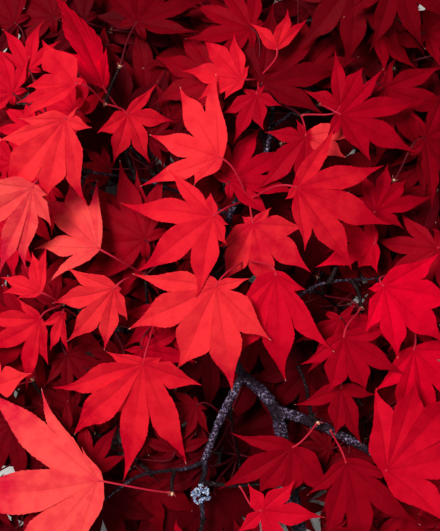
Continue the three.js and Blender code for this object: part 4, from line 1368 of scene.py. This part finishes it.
    def enter(
        self, places: tuple, radii: tuple[float, float], over: bool, bare_from: float = math.inf
    ) -> None:
        """Enters a limb or twig in the maps.

        Args:
            places: the places that its middle line runs through.
            radii: its radii at its start and at its end.
            over: whether leaves lie over it from now on, and not under it.
            bare_from: the place along +Y past which no middle leaf covers it.
        """
        line = smooth_route(list(places), self.cell)
        radius = np.linspace(*radii, len(line))
        for (x, y, z), r in zip(line, radius):
            room = r + self.cell / 2
            c0, c1 = (math.floor((v + self.half_map) / self.cell) for v in (x - room, x + room))
            r0, r1 = (math.floor((v + self.half_map) / self.cell) for v in (y - room, y + room))
            patch = (slice(r0, r1 + 1), slice(c0, c1 + 1))
            if over:
                self.top[patch] = np.maximum(self.top[patch], z + r)
            else:
                self.ceiling[patch] = np.minimum(self.ceiling[patch], z - r - self.lap_gap)
                self.shows[patch] |= y > bare_from

    def _enter_wood(self, over: bool) -> None:
        """Enters every limb and every spray's own twig in the maps."""
        for limb in LIMBS:
            self.enter(limb.route, limb.radii, over, limb.bare_from)
        for spray in SPRAYS:
            self.enter(spray.path, self.twig_radii, over)

    def ruled(self, run: SeededRun, plans: tuple, extra: bool) -> list[Leaf]:
        """Gives the leaves that the seeded rule sets out, tier by tier, turned by the golden angle.

        Args:
            run: the rule's random run.
            plans: the tiers.
            extra: whether they are the finer ones that only this model has.

        Returns:
            The leaves, before they are settled.
        """
        power = self.extra_squareness if extra else self.squareness
        half = self.extra_half if extra else self.half
        leaves = []
        for plan, n in ((plan, n) for plan in plans for n in range(plan.count)):
            angle = n * GOLDEN_ANGLE + plan.spin
            cos, sin = math.cos(angle), math.sin(angle)
            square = (abs(cos) ** power + abs(sin) ** power) ** (-1 / power)
            out = math.sqrt(plan.inner**2 + (1 - plan.inner**2) * (n + 0.5) / plan.count) * square
            x = self.middle[0] + half[0] * out * cos + run.either(self.scatter)
            y = self.middle[1] + half[1] * out * sin + run.either(self.scatter)
            away = self._away_from_twig(x, y, plan.tier is Tier.UNDER)
            pull = (self.outward * cos * out + away[0], self.outward * sin * out + away[1] - 1)
            heading = math.degrees(math.atan2(pull[1], pull[0])) + run.either(self.heading_spread)
            length = run.between(*plan.length)
            x, y = moved(x, y, heading, -MIDDLE_SHARE * length)
            pitch, roll = run.between(0, 14), run.either(8)
            leaves.append(Leaf(x, y, heading, length, pitch, roll, plan.height, plan.tier, extra=extra))
        return leaves

    @staticmethod
    def _away_from_twig(x: float, y: float, under: bool) -> np.ndarray:
        """Gives the level direction of a place from the nearest end of a spray's own twig."""
        ends = np.array([spray.path[-1][:2] for spray in SPRAYS if spray.under is under])
        away = np.array([x, y]) - ends
        return unit(away[np.argmin(np.linalg.norm(away, axis=1))])

    def _facing(self) -> list[Leaf]:
        """Gives the facing leaves, lowest first, and marks the cells that they will cover."""
        facing = []
        for name, x, y, heading, length, pitch, roll, lift, tone, tips in FACING_LEAVES:
            height = SPRAY_NAMED[name].path[-1][2] + lift
            facing.append(Leaf(x, y, heading, length, pitch, roll, height, Tier.FACING, name, tone, tips))
            rows, columns, _ = self.footprint(facing[-1])
            self.facing_cover[rows, columns] = True
        return facing

    def grow(self) -> None:
        """Settles every leaf, and joins each one to its spray.

        The leaves that the solids have are settled first, in the source's order. The finer ones that come
        after them leave them where they are.
        """
        self._enter_wood(over=False)
        facing = self._facing()
        ruled = self.ruled(SeededRun(self.seed), self.tiers, extra=False)
        under = [leaf for leaf in ruled if leaf.tier is Tier.UNDER and self._try_turns(leaf)]
        laid_under = self.top.copy()
        self._enter_wood(over=True)
        middle = [leaf for leaf in ruled if leaf.tier is Tier.MIDDLE and self._try_turns(leaf)]
        for leaf in facing:
            self.settle(leaf)
        self.top = laid_under
        self._lower_ceiling(middle + facing)
        self.enter(BARE_TWIG, self.twig_radii, False, -math.inf)
        run = SeededRun(self.extra_seed)
        under += [leaf for leaf in self.ruled(run, self.extra_tiers, extra=True) if self._try_turns(leaf)]
        self.ceiling[self.ceiling == self.under_ceiling] = self.gaps.ceiling
        under += self._fill_gaps([*facing, *middle, *under], run)
        self._enter_wood(over=True)
        self.ceiling[:] = self.middle_ceiling
        self._lower_ceiling(middle + facing)
        between = self.ruled(run, (self.between_tier,), extra=True)
        middle += [leaf for leaf in between if self._try_turns(leaf)]
        self.leaves = [*facing[::-1], *middle, *under]
        log.info("leaves: %d facing, %d middle, %d under", len(facing), len(middle), len(under))
        self._join()

    def _lower_ceiling(self, leaves: list[Leaf]) -> None:
        """Keeps what comes later under the leaves given, and under a strip from the heel to each known tip.

        A strip narrows with the cube of the share of the way to its tip. It falls by 0.22 of that way, and by
        0.18 of it more with the square of the share.
        """
        share = np.linspace(0.1, 1, 24)[:, None]
        for leaf in leaves:
            rows, columns, rise = self.footprint(leaf)
            np.minimum.at(self.ceiling, (rows, columns), leaf.z + rise - self.lap_gap)
            heel = np.array([leaf.x, leaf.y])
            for dx, dy, half_width, *_ in leaf.tips:
                away = math.hypot(dx, dy)
                tip = (heel + [dx, dy]) * (EYE_HEIGHT - leaf.z + 0.4 * away) / (EYE_HEIGHT - SEEN_LEVEL)
                height = leaf.z - away * (0.22 * share[:, 0] + 0.18 * share[:, 0] ** 2)
                across = unit(np.array([heel[1] - tip[1], tip[0] - heel[0]])) * half_width
                for hand in (-0.8, -0.4, 0, 0.4, 0.8):
                    strip = heel + share * (tip - heel) + hand * (1 - share**3) * across
                    column, row = np.floor((strip + self.half_map) / self.cell).astype(int).T
                    np.minimum.at(self.ceiling, (row, column), height - self.lap_gap)

    def _fill_gaps(self, laid: list[Leaf], run: SeededRun) -> list[Leaf]:
        """Lays small low leaves where the eye would see the surface inside the crown, the widest gaps first.

        The first of them come over what is laid, under the ceiling. The last lie flat under everything, in
        the inner part of the crown or near the twig of a low spray.

        Args:
            laid: the leaves so far.
            run: the random run.

        Returns:
            The new leaves.
        """
        centre = (np.arange(len(self.top)) + 0.5) * self.cell - self.half_map
        gap, may_be_flat = (
            (np.abs(centre)[:, None] < half[1]) & (np.abs(centre)[None] < half[0])
            for half in (self.extra_half, self.gaps.flat_half)
        )
        for x, y, _ in (spray.path[-1] for spray in SPRAYS if spray.under):
            may_be_flat |= np.hypot(centre[None] - x, centre[:, None] - y) < self.gaps.flat_reach
        lowest = np.full(gap.shape, self.half_map)
        for leaf in laid:
            self._close_gap(leaf, gap, lowest)
        added = []
        for flat, size in product((False, True), self.gaps.sizes):
            tried = flat & ~may_be_flat
            for _ in range(self.gaps.tries):
                left = gap & ~tried
                steps = product(range(-2, 3), repeat=2)
                open_round = sum(np.roll(left, step, (0, 1)).astype(int) for step in steps) * left
                row, column = np.unravel_index(open_round.argmax(), gap.shape)
                if open_round[row, column] < self.gaps.least_open:
                    break
                length, heading = run.between(*size), run.between(0, 360)
                x, y = moved(centre[column], centre[row], heading, -MIDDLE_SHARE * length)
                leaf = Leaf(x, y, heading, length, run.between(0, 6), run.either(5), 3, Tier.UNDER)
                leaf.extra = True
                tried[row - 1 : row + 2, column - 1 : column + 2] = True
                if self._lie_flat(leaf, lowest) if flat else self._try_turns(leaf):
                    self._close_gap(leaf, gap, lowest)
                    added.append(leaf)
        log.info("gaps: %d leaves, %d cells left", len(added), gap.sum())
        return added

    def _close_gap(self, leaf: Leaf, gap: np.ndarray, lowest: np.ndarray) -> None:
        """Marks what a leaf surely hides of the surface, and how low it hangs.

        It hides its outline drawn in, or less where its lobes are its own, and cast down from the eye.
        """
        cast, sure = EYE_HEIGHT / (EYE_HEIGHT - leaf.z), 0.7 if leaf.tips else 1
        length = leaf.length * cast * sure - self.gaps.drawn_in * self.cell
        gap[self.footprint(replace(leaf, x=leaf.x * cast, y=leaf.y * cast, length=length))[:2]] = False
        rows, columns, rise = self.footprint(leaf)
        np.minimum.at(lowest, (rows, columns), leaf.z + rise)

    def _lie_flat(self, leaf: Leaf, lowest: np.ndarray) -> bool:
        """Lays a leaf flat on the surface, or turned on about its middle until nothing hangs in its way."""
        leaf.pitch, leaf.roll, leaf.z = 0.0, 0.0, self.gaps.flat_lift + self.sag * leaf.length
        lowest = np.minimum(lowest, self.ceiling)
        to_middle = MIDDLE_SHARE * leaf.length
        middle = moved(leaf.x, leaf.y, leaf.heading, to_middle)
        for _ in range(self.gaps.flat_turns):
            leaf.x, leaf.y = moved(*middle, leaf.heading, -to_middle)
            rows, columns, rise = self.footprint(leaf)
            if (lowest[rows, columns] > leaf.z + rise + self.gaps.flat_room).all():
                return True
            leaf.heading += 360 / self.gaps.flat_turns
        return False

    def _join(self) -> None:
        """Gives each leaf its spray and the way that its stalk, or side twig and stalk, takes to it."""
        ends = [(spray.name, np.array(place, float)) for spray in SPRAYS for place in spray.path[1:]]
        ends += [(name, np.array(place, float)) for name, place in STALKS_ON_BOUGHS.items()]
        run = SeededRun(self.stalk_seed)
        for leaf in self.leaves:
            heel = leaf.heel()
            open_ends = [end for end in ends if SPRAY_NAMED[end[0]].under is (leaf.tier is Tier.UNDER)]
            away = np.array([np.linalg.norm(place - heel) for _, place in open_ends])
            foreign = np.array([leaf.tier is Tier.FACING and name != leaf.spray for name, _ in open_ends])
            cost = away + np.where(away < self.stalk_least, self.stalk_reach, 0) + foreign * self.half_map
            nearest = int(np.argmin(cost))
            leaf.spray, start = open_ends[nearest]
            given = TWIG_WAYS.get(leaf.spray) if leaf.tier is Tier.FACING else None
            if away[nearest] > self.stalk_reach and given != ():
                if given:
                    tip, way = np.array(given[-1], float), smooth_route([start, *given], TWIG_STEP)
                else:
                    tip = heel + (start - heel) * self.stalk_length / away[nearest]
                    way = self._side_twig(start, tip, run)
                self.twigs.append((leaf.spray, way))
                ends.append((leaf.spray, tip))
                start = tip
            leaf.stalk = self._stalk(leaf, start)
            if leaf.tone is None:
                leaf.tone = SPRAY_NAMED[leaf.spray].tones[int(run.next() > self.first_tint)]

    @staticmethod
    def _stalk(leaf: Leaf, start: np.ndarray) -> np.ndarray:
        """Runs a stalk from a twig to a blade: a cubic that starts out rising and ends behind the heel."""
        along, _, face = leaf.axes()
        heel = leaf.heel() - face * 0.15
        length = np.linalg.norm(heel - start)
        rising = start + (heel - start) * 0.3 + [0, 0, 0.16 * length]
        ends = np.stack([start, rising, heel - along * 0.34 * length, heel])
        t = np.linspace(0, 1, 12)[:, None]
        weights = np.hstack([(1 - t) ** 3, 3 * t * (1 - t) ** 2, 3 * t * t * (1 - t), t**3])
        return weights @ ends

    @staticmethod
    def _side_twig(start: np.ndarray, tip: np.ndarray, run: SeededRun) -> np.ndarray:
        """Runs a side twig between two places, with a slight crook in it and low in its middle."""
        crook = np.array([run.either(1), run.either(1), -1.4]) * np.linalg.norm(tip - start) * 0.06
        return smooth_route([start, (start + tip) / 2 + crook, tip], TWIG_STEP)


# The pieces


@dataclass
class Branch:
    """The whole branch: its limbs, twigs, leaves, and what grows on them."""

    crown: Crown
    shift: np.ndarray
    plan: BladePlan = BladePlan()
    limb_step: float = 0.9
    limb_sides: int = 28
    old_radius: float = 2.0
    fitting_turns: int = 9
    steepest: float = 0.36
    bend_height: float = 3.0

    def __post_init__(self) -> None:
        """Makes the blades' grids and the finishes."""
        self.grids = {
            Tier.FACING: BladeGrid(self.plan, 1.0, 8),
            Tier.MIDDLE: BladeGrid(self.plan, 0.6, 5),
            Tier.UNDER: BladeGrid(self.plan, 0.45, 4),
        }
        self.leaf_skins = {tone: LeafFinish(tone).material() for tone in Tone}
        self.bark, self.twig = BarkFinish().material(), TwigFinish().material()
        bright = StalkFinish("stalk_red", (184, 10, 42), (222, 42, 66), (222, 116, 104))
        # Painted shade: the stalks of the leaves below the facing ones take this darker copy of the red.
        deep = StalkFinish("stalk_painted_shade", (78, 3, 16), (112, 10, 30), (120, 40, 40))
        self.stalks = [bright.material(), deep.material()]
        self.young_bark = BarkFinish("bark_young", (8, 3, 6), (36, 17, 25), 0.6, 1500).material()

    def build(self) -> None:
        """Builds every piece and reports it."""
        for limb in LIMBS:
            self.limb(limb)
        for spray in SPRAYS:
            self.blades(spray)
            self.twigs(spray)
        self.bare_twig()
        self.cut_face()
        self.buds()
        self.lichen()

    def report(self, piece: bpy.types.Object, slot: str, *nodes: str) -> None:
        """Hides the imported parts that a piece stands for, and logs it."""
        if nodes:
            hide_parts(*nodes)
        log.info("%s: %d faces", piece.name, len(piece.data.polygons))

    def limb(self, limb: Limb) -> None:
        """Builds a limb's bark: a tapering tube, furrowed along its grain, whose radius swells at old scars.

        The furrows are a sum of cosines of whole multiples of the turn and of the way along.

        Args:
            limb: the limb.
        """
        line = smooth_route(list(limb.route), self.limb_step)
        way = np.arange(len(line)) * self.limb_step
        turn = np.linspace(0, 2 * np.pi, self.limb_sides, endpoint=False)
        run = SeededRun(sum(map(ord, limb.name)))
        radius = np.linspace(*limb.radii, len(line))[:, None] * np.full(self.limb_sides, limb.bark)
        for _ in range(9):
            folds, pitch, lag = 1 + int(run.next() * 6), run.between(0.05, 0.5), run.between(0, 6.3)
            radius = radius * (1 + 0.018 * np.cos(folds * turn[None] + pitch * way[:, None] + lag))
        scars = run.between(4, 12) + np.arange(12) * run.between(13, 19)
        for scar in scars[scars < way[-1] - 4]:
            collar = np.exp(-(((way - scar) / 1.1) ** 2)) - 0.4 * np.exp(-(((way - scar - 2.2) / 1.0) ** 2))
            radius = radius * (1 + 0.13 * collar[:, None])
        surface = Surface()
        surface.add(*tube_patch(line, radius, self.limb_sides))
        bark = self.bark if limb.radii[0] > self.old_radius else self.young_bark
        piece = surface.build(f"bark_{limb.name}", [bark], self.shift)
        self.report(piece, "bark", limb.name)

    def blades(self, spray: Spray) -> None:
        """Builds a spray's blades in one mesh, each in its own tint.

        Args:
            spray: the spray.
        """
        tones = list(Tone)
        surface = Surface()
        run = SeededRun(sum(map(ord, spray.name)) + 11)
        for leaf in (leaf for leaf in self.crown.leaves if leaf.spray == spray.name):
            grid = self.grids[leaf.tier]
            pleat = run.between(0.1, 0.24)
            if leaf.tips:
                grid, points = self.own_blade(leaf, pleat, run)
            else:
                points = grid.points(leaf.length, pleat, run) @ leaf.axes() + leaf.heel()
            points[:, 2] = self.above_surface(points[:, 2], self.bend_height)
            # Painted light and shade: the half of each lobe that faces the sunny side is tinted lighter, the
            # other darker.
            shades = grid.shades(run.next(), leaf.axes()[:2] @ SUNNY_SIDE, run)
            surface.add(points, grid.faces, grid.uv, shades, tones.index(leaf.tone), grid.tip)
        piece = surface.build(f"leaves_{spray.name}", [self.leaf_skins[tone] for tone in tones], self.shift)
        self.report(piece, "deep_leaves" if spray.under else "bright_leaves", spray.name)

    def own_blade(self, leaf: Leaf, pleat: float, run: SeededRun) -> tuple[BladeGrid, np.ndarray]:
        """Shapes a leaf whose tips are known as the eye over the branch sees them.

        The lobes start out straight to their tips. Then the blade is shaped a few times, and each time a
        lobe's tip moves in the blade's own axes by what it still lies off the line from the eye to its seen
        place. A lobe whose tip would dip too far under the heel is lifted, by a rise that grows with the
        square of the share of the way to its tip.

        Args:
            leaf: the leaf.
            pleat: the slope of the fold on each side of a midrib.
            run: the leaf's random run.

        Returns:
            The blade's grid and its points.
        """
        axes, heel = leaf.axes(), leaf.heel()
        level, depth = axes[:2, :2], EYE_HEIGHT - SEEN_LEVEL
        seen = np.array([tip[:2] for tip in leaf.tips]) + heel[:2]
        place = (seen * (EYE_HEIGHT - heel[2]) / depth - heel[:2]) @ np.linalg.inv(level) / leaf.length
        order = np.argsort(np.arctan2(place[:, 1], place[:, 0]))
        place, seen, rows = place[order], seen[order], [leaf.tips[number] for number in order]
        lift = np.zeros(len(rows))
        for turn in range(self.fitting_turns):
            lobes = []
            for (u, v), (_, _, half_width, *lit) in zip(place, rows):
                reach = math.hypot(u, v)
                narrowed = abs(np.linalg.det(level)) / np.linalg.norm(np.array([u, v]) @ level / reach)
                half = half_width * (EYE_HEIGHT - heel[2]) / depth / max(0.75, narrowed) / leaf.length
                teeth = max(3, round(13 * reach))
                lobes.append(Lobe(math.degrees(math.atan2(v, u)), reach, half, teeth, *lit))
            grid = BladeGrid(replace(self.plan, lobes=tuple(lobes), curled_heel=False), 1.0, 8)
            shaping = run if turn == self.fitting_turns - 1 else SeededRun(run.state)
            points = grid.points(leaf.length, pleat, shaping) @ axes + heel
            points[:, 2] += lift[grid.lobes] * grid.tip**2
            tips = points[grid.tips]
            lowest = heel[2] - self.steepest * np.linalg.norm(tips[:, :2] - heel[:2], axis=1)
            lift = np.maximum(0, lift + lowest - tips[:, 2])
            off = seen * (EYE_HEIGHT - tips[:, 2:]) / depth - tips[:, :2]
            place = place + off @ np.linalg.inv(level) / leaf.length
        return grid, points

    @staticmethod
    def above_surface(height: np.ndarray, low: float) -> np.ndarray:
        """Bends what would pass through the surface back along it.

        Args:
            height: the heights.
            low: the height under which the bend starts.

        Returns:
            The same heights, but each z under low as low e^((z - low) / low).
        """
        return np.where(height < low, low * np.exp((np.minimum(height, low) - low) / low), height)

    def twigs(self, spray: Spray) -> None:
        """Builds a spray's own twig, its side twigs and its stalks, which swell at both ends, in one mesh.

        Args:
            spray: the spray.
        """
        surface = Surface()
        line = smooth_route(list(spray.path), 1.2)
        surface.add(*tube_patch(line, self.knobbed(line, *self.crown.twig_radii), 10), dress=0)
        for _, line in (twig for twig in self.crown.twigs if twig[0] == spray.name):
            surface.add(*tube_patch(line, self.knobbed(line, 0.95, 0.7), 8), dress=0)
        for leaf in (leaf for leaf in self.crown.leaves if leaf.spray == spray.name):
            share = np.linspace(0, 1, len(leaf.stalk))
            radius = 0.5 + 0.3 * np.exp(-((share / 0.07) ** 2)) + 0.25 * np.exp(-(((share - 1) / 0.08) ** 2))
            # The stalks of the leaves below the facing ones take the painted-shade copy.
            surface.add(*tube_patch(leaf.stalk, radius, 7), dress=1 if leaf.tier is Tier.FACING else 2)
        piece = surface.build(f"twigs_{spray.name}", [self.twig, *self.stalks], self.shift)
        self.report(piece, "bark", spray.name)

    def bare_twig(self) -> None:
        """Builds the leafless twig that stands up from the right bough."""
        surface = Surface()
        line = smooth_route(list(BARE_TWIG), 1.2)
        surface.add(*tube_patch(line, self.knobbed(line, 1.15, 0.7), 10))
        self.report(surface.build("bare_twig", [self.twig], self.shift), "bark")

    @staticmethod
    def knobbed(line: np.ndarray, start: float, end: float) -> np.ndarray:
        """Gives a tapering radius along a twig that swells at its foot and at its tip."""
        share = np.linspace(0, 1, len(line))
        swell = 0.5 * np.exp(-((share / 0.06) ** 2)) + 0.7 * np.exp(-(((share - 1) / 0.05) ** 2))
        return (start + (end - start) * share) * (1 + swell)

    def cut_face(self) -> None:
        """Builds the pale face of the cut: a slightly domed disc, mapped by the way out and the turn."""
        limb = LIMB_NAMED["main_stem"]
        line = smooth_route(list(limb.route), self.limb_step)
        tangent, first, second = side_vectors(line)
        share, turn = np.linspace(0, 1, 14), np.linspace(0, 2 * np.pi, 48, endpoint=False)
        r, a = np.meshgrid(share[1:] * (limb.radii[0] - 0.35), turn, indexing="ij")
        dome = 0.12 + 0.14 * np.sqrt(np.maximum(0, 1 - (r / limb.radii[0]) ** 2))
        across = np.cos(a)[..., None] * first[0] + np.sin(a)[..., None] * second[0]
        rings = line[0] - dome[..., None] * tangent[0] + r[..., None] * across
        points = np.vstack([rings.reshape(-1, 3), line[0] - 0.26 * tangent[0], line[0] + 0.6 * tangent[0]])
        flat = np.stack([np.broadcast_to(share[1:, None], r.shape), a / (2 * np.pi)], axis=-1).reshape(-1, 2)
        surface = Surface()
        surface.add(points, ring_faces(*r.shape), np.vstack([flat, [0, 0], [1, 0]]))
        self.report(surface.build("cut_wood_face", [CutWoodFinish().material()], self.shift), "bark")

    def buds(self) -> None:
        """Builds the pale collars where stalks leave the twigs, and pairs of small red buds beside them."""
        collars, buds = Surface(), Surface()
        run = SeededRun(4021)
        ends = [(np.array(spray.path[-2], float), np.array(spray.path[-1], float)) for spray in SPRAYS]
        ends += [(line[-4], line[-1]) for _, line in self.crown.twigs]
        for before, end in ends:
            along = unit(end - before)
            side = unit(np.cross(along, [0.2, 0.1, 1]))
            collars.add(*bead_patch(end - along * 1.9, along, 3.8, 1.3, 10), shade=run.next())
            for hand in (-1, 1):
                foot, way = end + side * hand * 0.5, along * 0.9 + side * hand * 0.7
                buds.add(*bead_patch(foot, way, run.between(2.2, 3.2), 0.75), shade=run.next())
        pale = PlainGrainFinish("node_cream", (250, 206, 160), (222, 130, 104), 700, 0.45)
        red = PlainGrainFinish("bud_red", (142, 26, 38), (92, 16, 26), 600, 0.4)
        self.report(collars.build("node_collars", [pale.material()], self.shift), "bark")
        self.report(buds.build("buds", [red.material()], self.shift), "bark")

    def lichen(self) -> None:
        """Builds the pale tuft on the low bough: small ruffled frills that stand out from the bark.

        A frill is a fan: with q out from its foot and a across it, it curls up with the square of q and
        ripples with a at its edge. It is closed by a second face a tenth of a millimetre below.
        """
        run = SeededRun(733)
        route = smooth_route(list(LIMB_NAMED["low_bough"].route), 0.5)
        near = np.argmin(np.linalg.norm(route - np.array([-10.0, -120.0, 53.5]), axis=1))
        middle, tangent = route[near], unit(route[near + 6] - route[near - 6])
        q, a = np.meshgrid(np.linspace(0.02, 1, 6), np.linspace(-1, 1, 9), indexing="ij")
        number = np.arange(q.size).reshape(q.shape)
        corners = [number[:-1, :-1], number[1:, :-1], number[1:, 1:], number[:-1, 1:]]
        quad = np.stack(corners, axis=-1).reshape(-1, 4)
        rim = np.concatenate([number[0], number[1:, -1], number[-1, -2::-1], number[-2:0:-1, 0]])
        side = np.stack([rim, np.roll(rim, -1), np.roll(rim, -1) + q.size, rim + q.size], axis=-1)
        faces = np.vstack([quad, quad[:, ::-1] + q.size, side])
        across = unit(np.cross(tangent, [0, 0, 1]))
        surface = Surface()
        for _ in range(17):
            round_it = run.between(0, math.tau)
            upwards = [0, 0, run.between(0.2, 1.1)]
            way = unit(across * math.cos(round_it) + tangent * math.sin(round_it) + upwards)
            seat = middle + way * run.between(1.6, 4.6)
            for _ in range(7):
                lean = np.array([run.either(1), run.either(1), run.either(1)])
                out = unit(way * 0.8 + lean)
                wide = unit(np.cross(out, lean + [0.2, 0.1, 0.3]))
                up = np.cross(out, wide)
                size, lag = run.between(0.9, 2.3), run.between(0, 6.3)
                frill = q[..., None] * size * (out + 0.7 * a[..., None] * wide)
                curl = (0.4 * q**2 + 0.3 * q * np.sin(6 * a + lag) * q) * size
                skin = seat - out * 0.6 + frill + curl[..., None] * up
                points = np.vstack([skin.reshape(-1, 3), (skin - 0.12 * up).reshape(-1, 3)])
                uv = np.vstack([np.stack([q, a], axis=-1).reshape(-1, 2)] * 2)
                surface.add(points, [faces], uv, run.next())
        self.report(surface.build("lichen_tuft", [LichenFinish().material()], self.shift), "bark")


@dataclass
class Studio:
    """The pale floor, the soft lights and the camera over the branch."""

    centre: np.ndarray
    camera_height: float = EYE_HEIGHT
    half_frame: float = 132.75
    plane: float = SEEN_LEVEL

    def build(self) -> None:
        """Builds the floor, lights and camera."""
        self.floor()
        self.light("key", (-0.95, 0.6, 2.0), 0.8, 49.0, (1.0, 0.98, 0.96))
        self.light("fill", (0.9, -0.6, 1.5), 0.9, 5.2, (0.95, 0.97, 1.0))
        self.sky(0.1)
        self.camera()
        bpy.context.scene.view_settings.view_transform = "Standard"

    def floor(self) -> None:
        """Builds a wide flat floor under the branch, with a very fine tooth."""
        mesh = bpy.data.meshes.new("floor")
        half, drop = 3.0, -0.0005
        corners = [(-half, -half, drop), (half, -half, drop), (half, half, drop), (-half, half, drop)]
        mesh.from_pydata(corners, [], [(0, 1, 2, 3)])
        floor = bpy.data.objects.new("floor", mesh)
        bpy.context.scene.collection.objects.link(floor)
        finish = PlainGrainFinish("floor_pale", (222, 220, 216), (216, 214, 211), 40, 0.8, 0.00005)
        mesh.materials.append(finish.material())

    def light(self, name: str, place: tuple, size: float, power: float, tint: tuple) -> None:
        """Hangs a square soft light that points at the middle of the branch.

        Args:
            name: the light's name.
            place: where it hangs, in metres.
            size: its side, in metres.
            power: its power in watts.
            tint: its colour.
        """
        lamp = bpy.data.lights.new(name, "AREA")
        lamp.shape, lamp.size, lamp.energy, lamp.color = "SQUARE", size, power, tint
        holder = bpy.data.objects.new(name, lamp)
        holder.location = place
        aim = Vector((0, 0, 0.06)) - Vector(place)
        holder.rotation_euler = aim.to_track_quat("-Z", "Y").to_euler()
        bpy.context.scene.collection.objects.link(holder)

    def sky(self, strength: float) -> None:
        """Lights the studio evenly from all round."""
        world = bpy.data.worlds.new("studio")
        world.use_nodes = True
        background = world.node_tree.nodes["Background"]
        background.inputs["Color"].default_value = (0.93, 0.95, 1.0, 1)
        background.inputs["Strength"].default_value = strength
        bpy.context.scene.world = world

    def camera(self) -> None:
        """Sets the camera straight over the branch, with +Y up in its picture."""
        lens = bpy.data.cameras.new("camera")
        lens.sensor_fit = "VERTICAL"
        lens.sensor_height = 24.0
        lens.lens = lens.sensor_height / 2 * (self.camera_height - self.plane) / self.half_frame
        lens.clip_start = 0.01
        lens.dof.use_dof = False
        eye = bpy.data.objects.new("camera", lens)
        eye.location = Vector((self.centre[0] * MM, self.centre[1] * MM, self.camera_height * MM))
        bpy.context.scene.collection.objects.link(eye)
        bpy.context.scene.camera = eye


def main() -> None:
    """Builds the branch and the studio."""
    logging.basicConfig(level=logging.INFO, format="%(message)s")
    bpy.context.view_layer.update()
    cut_end = np.array(frame["record"]["mounts"][0]["pos_m"]) / MM
    shift = cut_end - np.array(LIMBS[0].route[0], float)
    crown = Crown()
    crown.grow()
    Branch(crown, shift).build()
    Studio(shift).build()
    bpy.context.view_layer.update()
    meshes = [piece.data for piece in bpy.context.scene.objects if piece.type == "MESH"]
    log.info("faces in all: %d", sum(len(mesh.polygons) for mesh in meshes if len(mesh.uv_layers)))


if __name__ == "__main__":
    main()
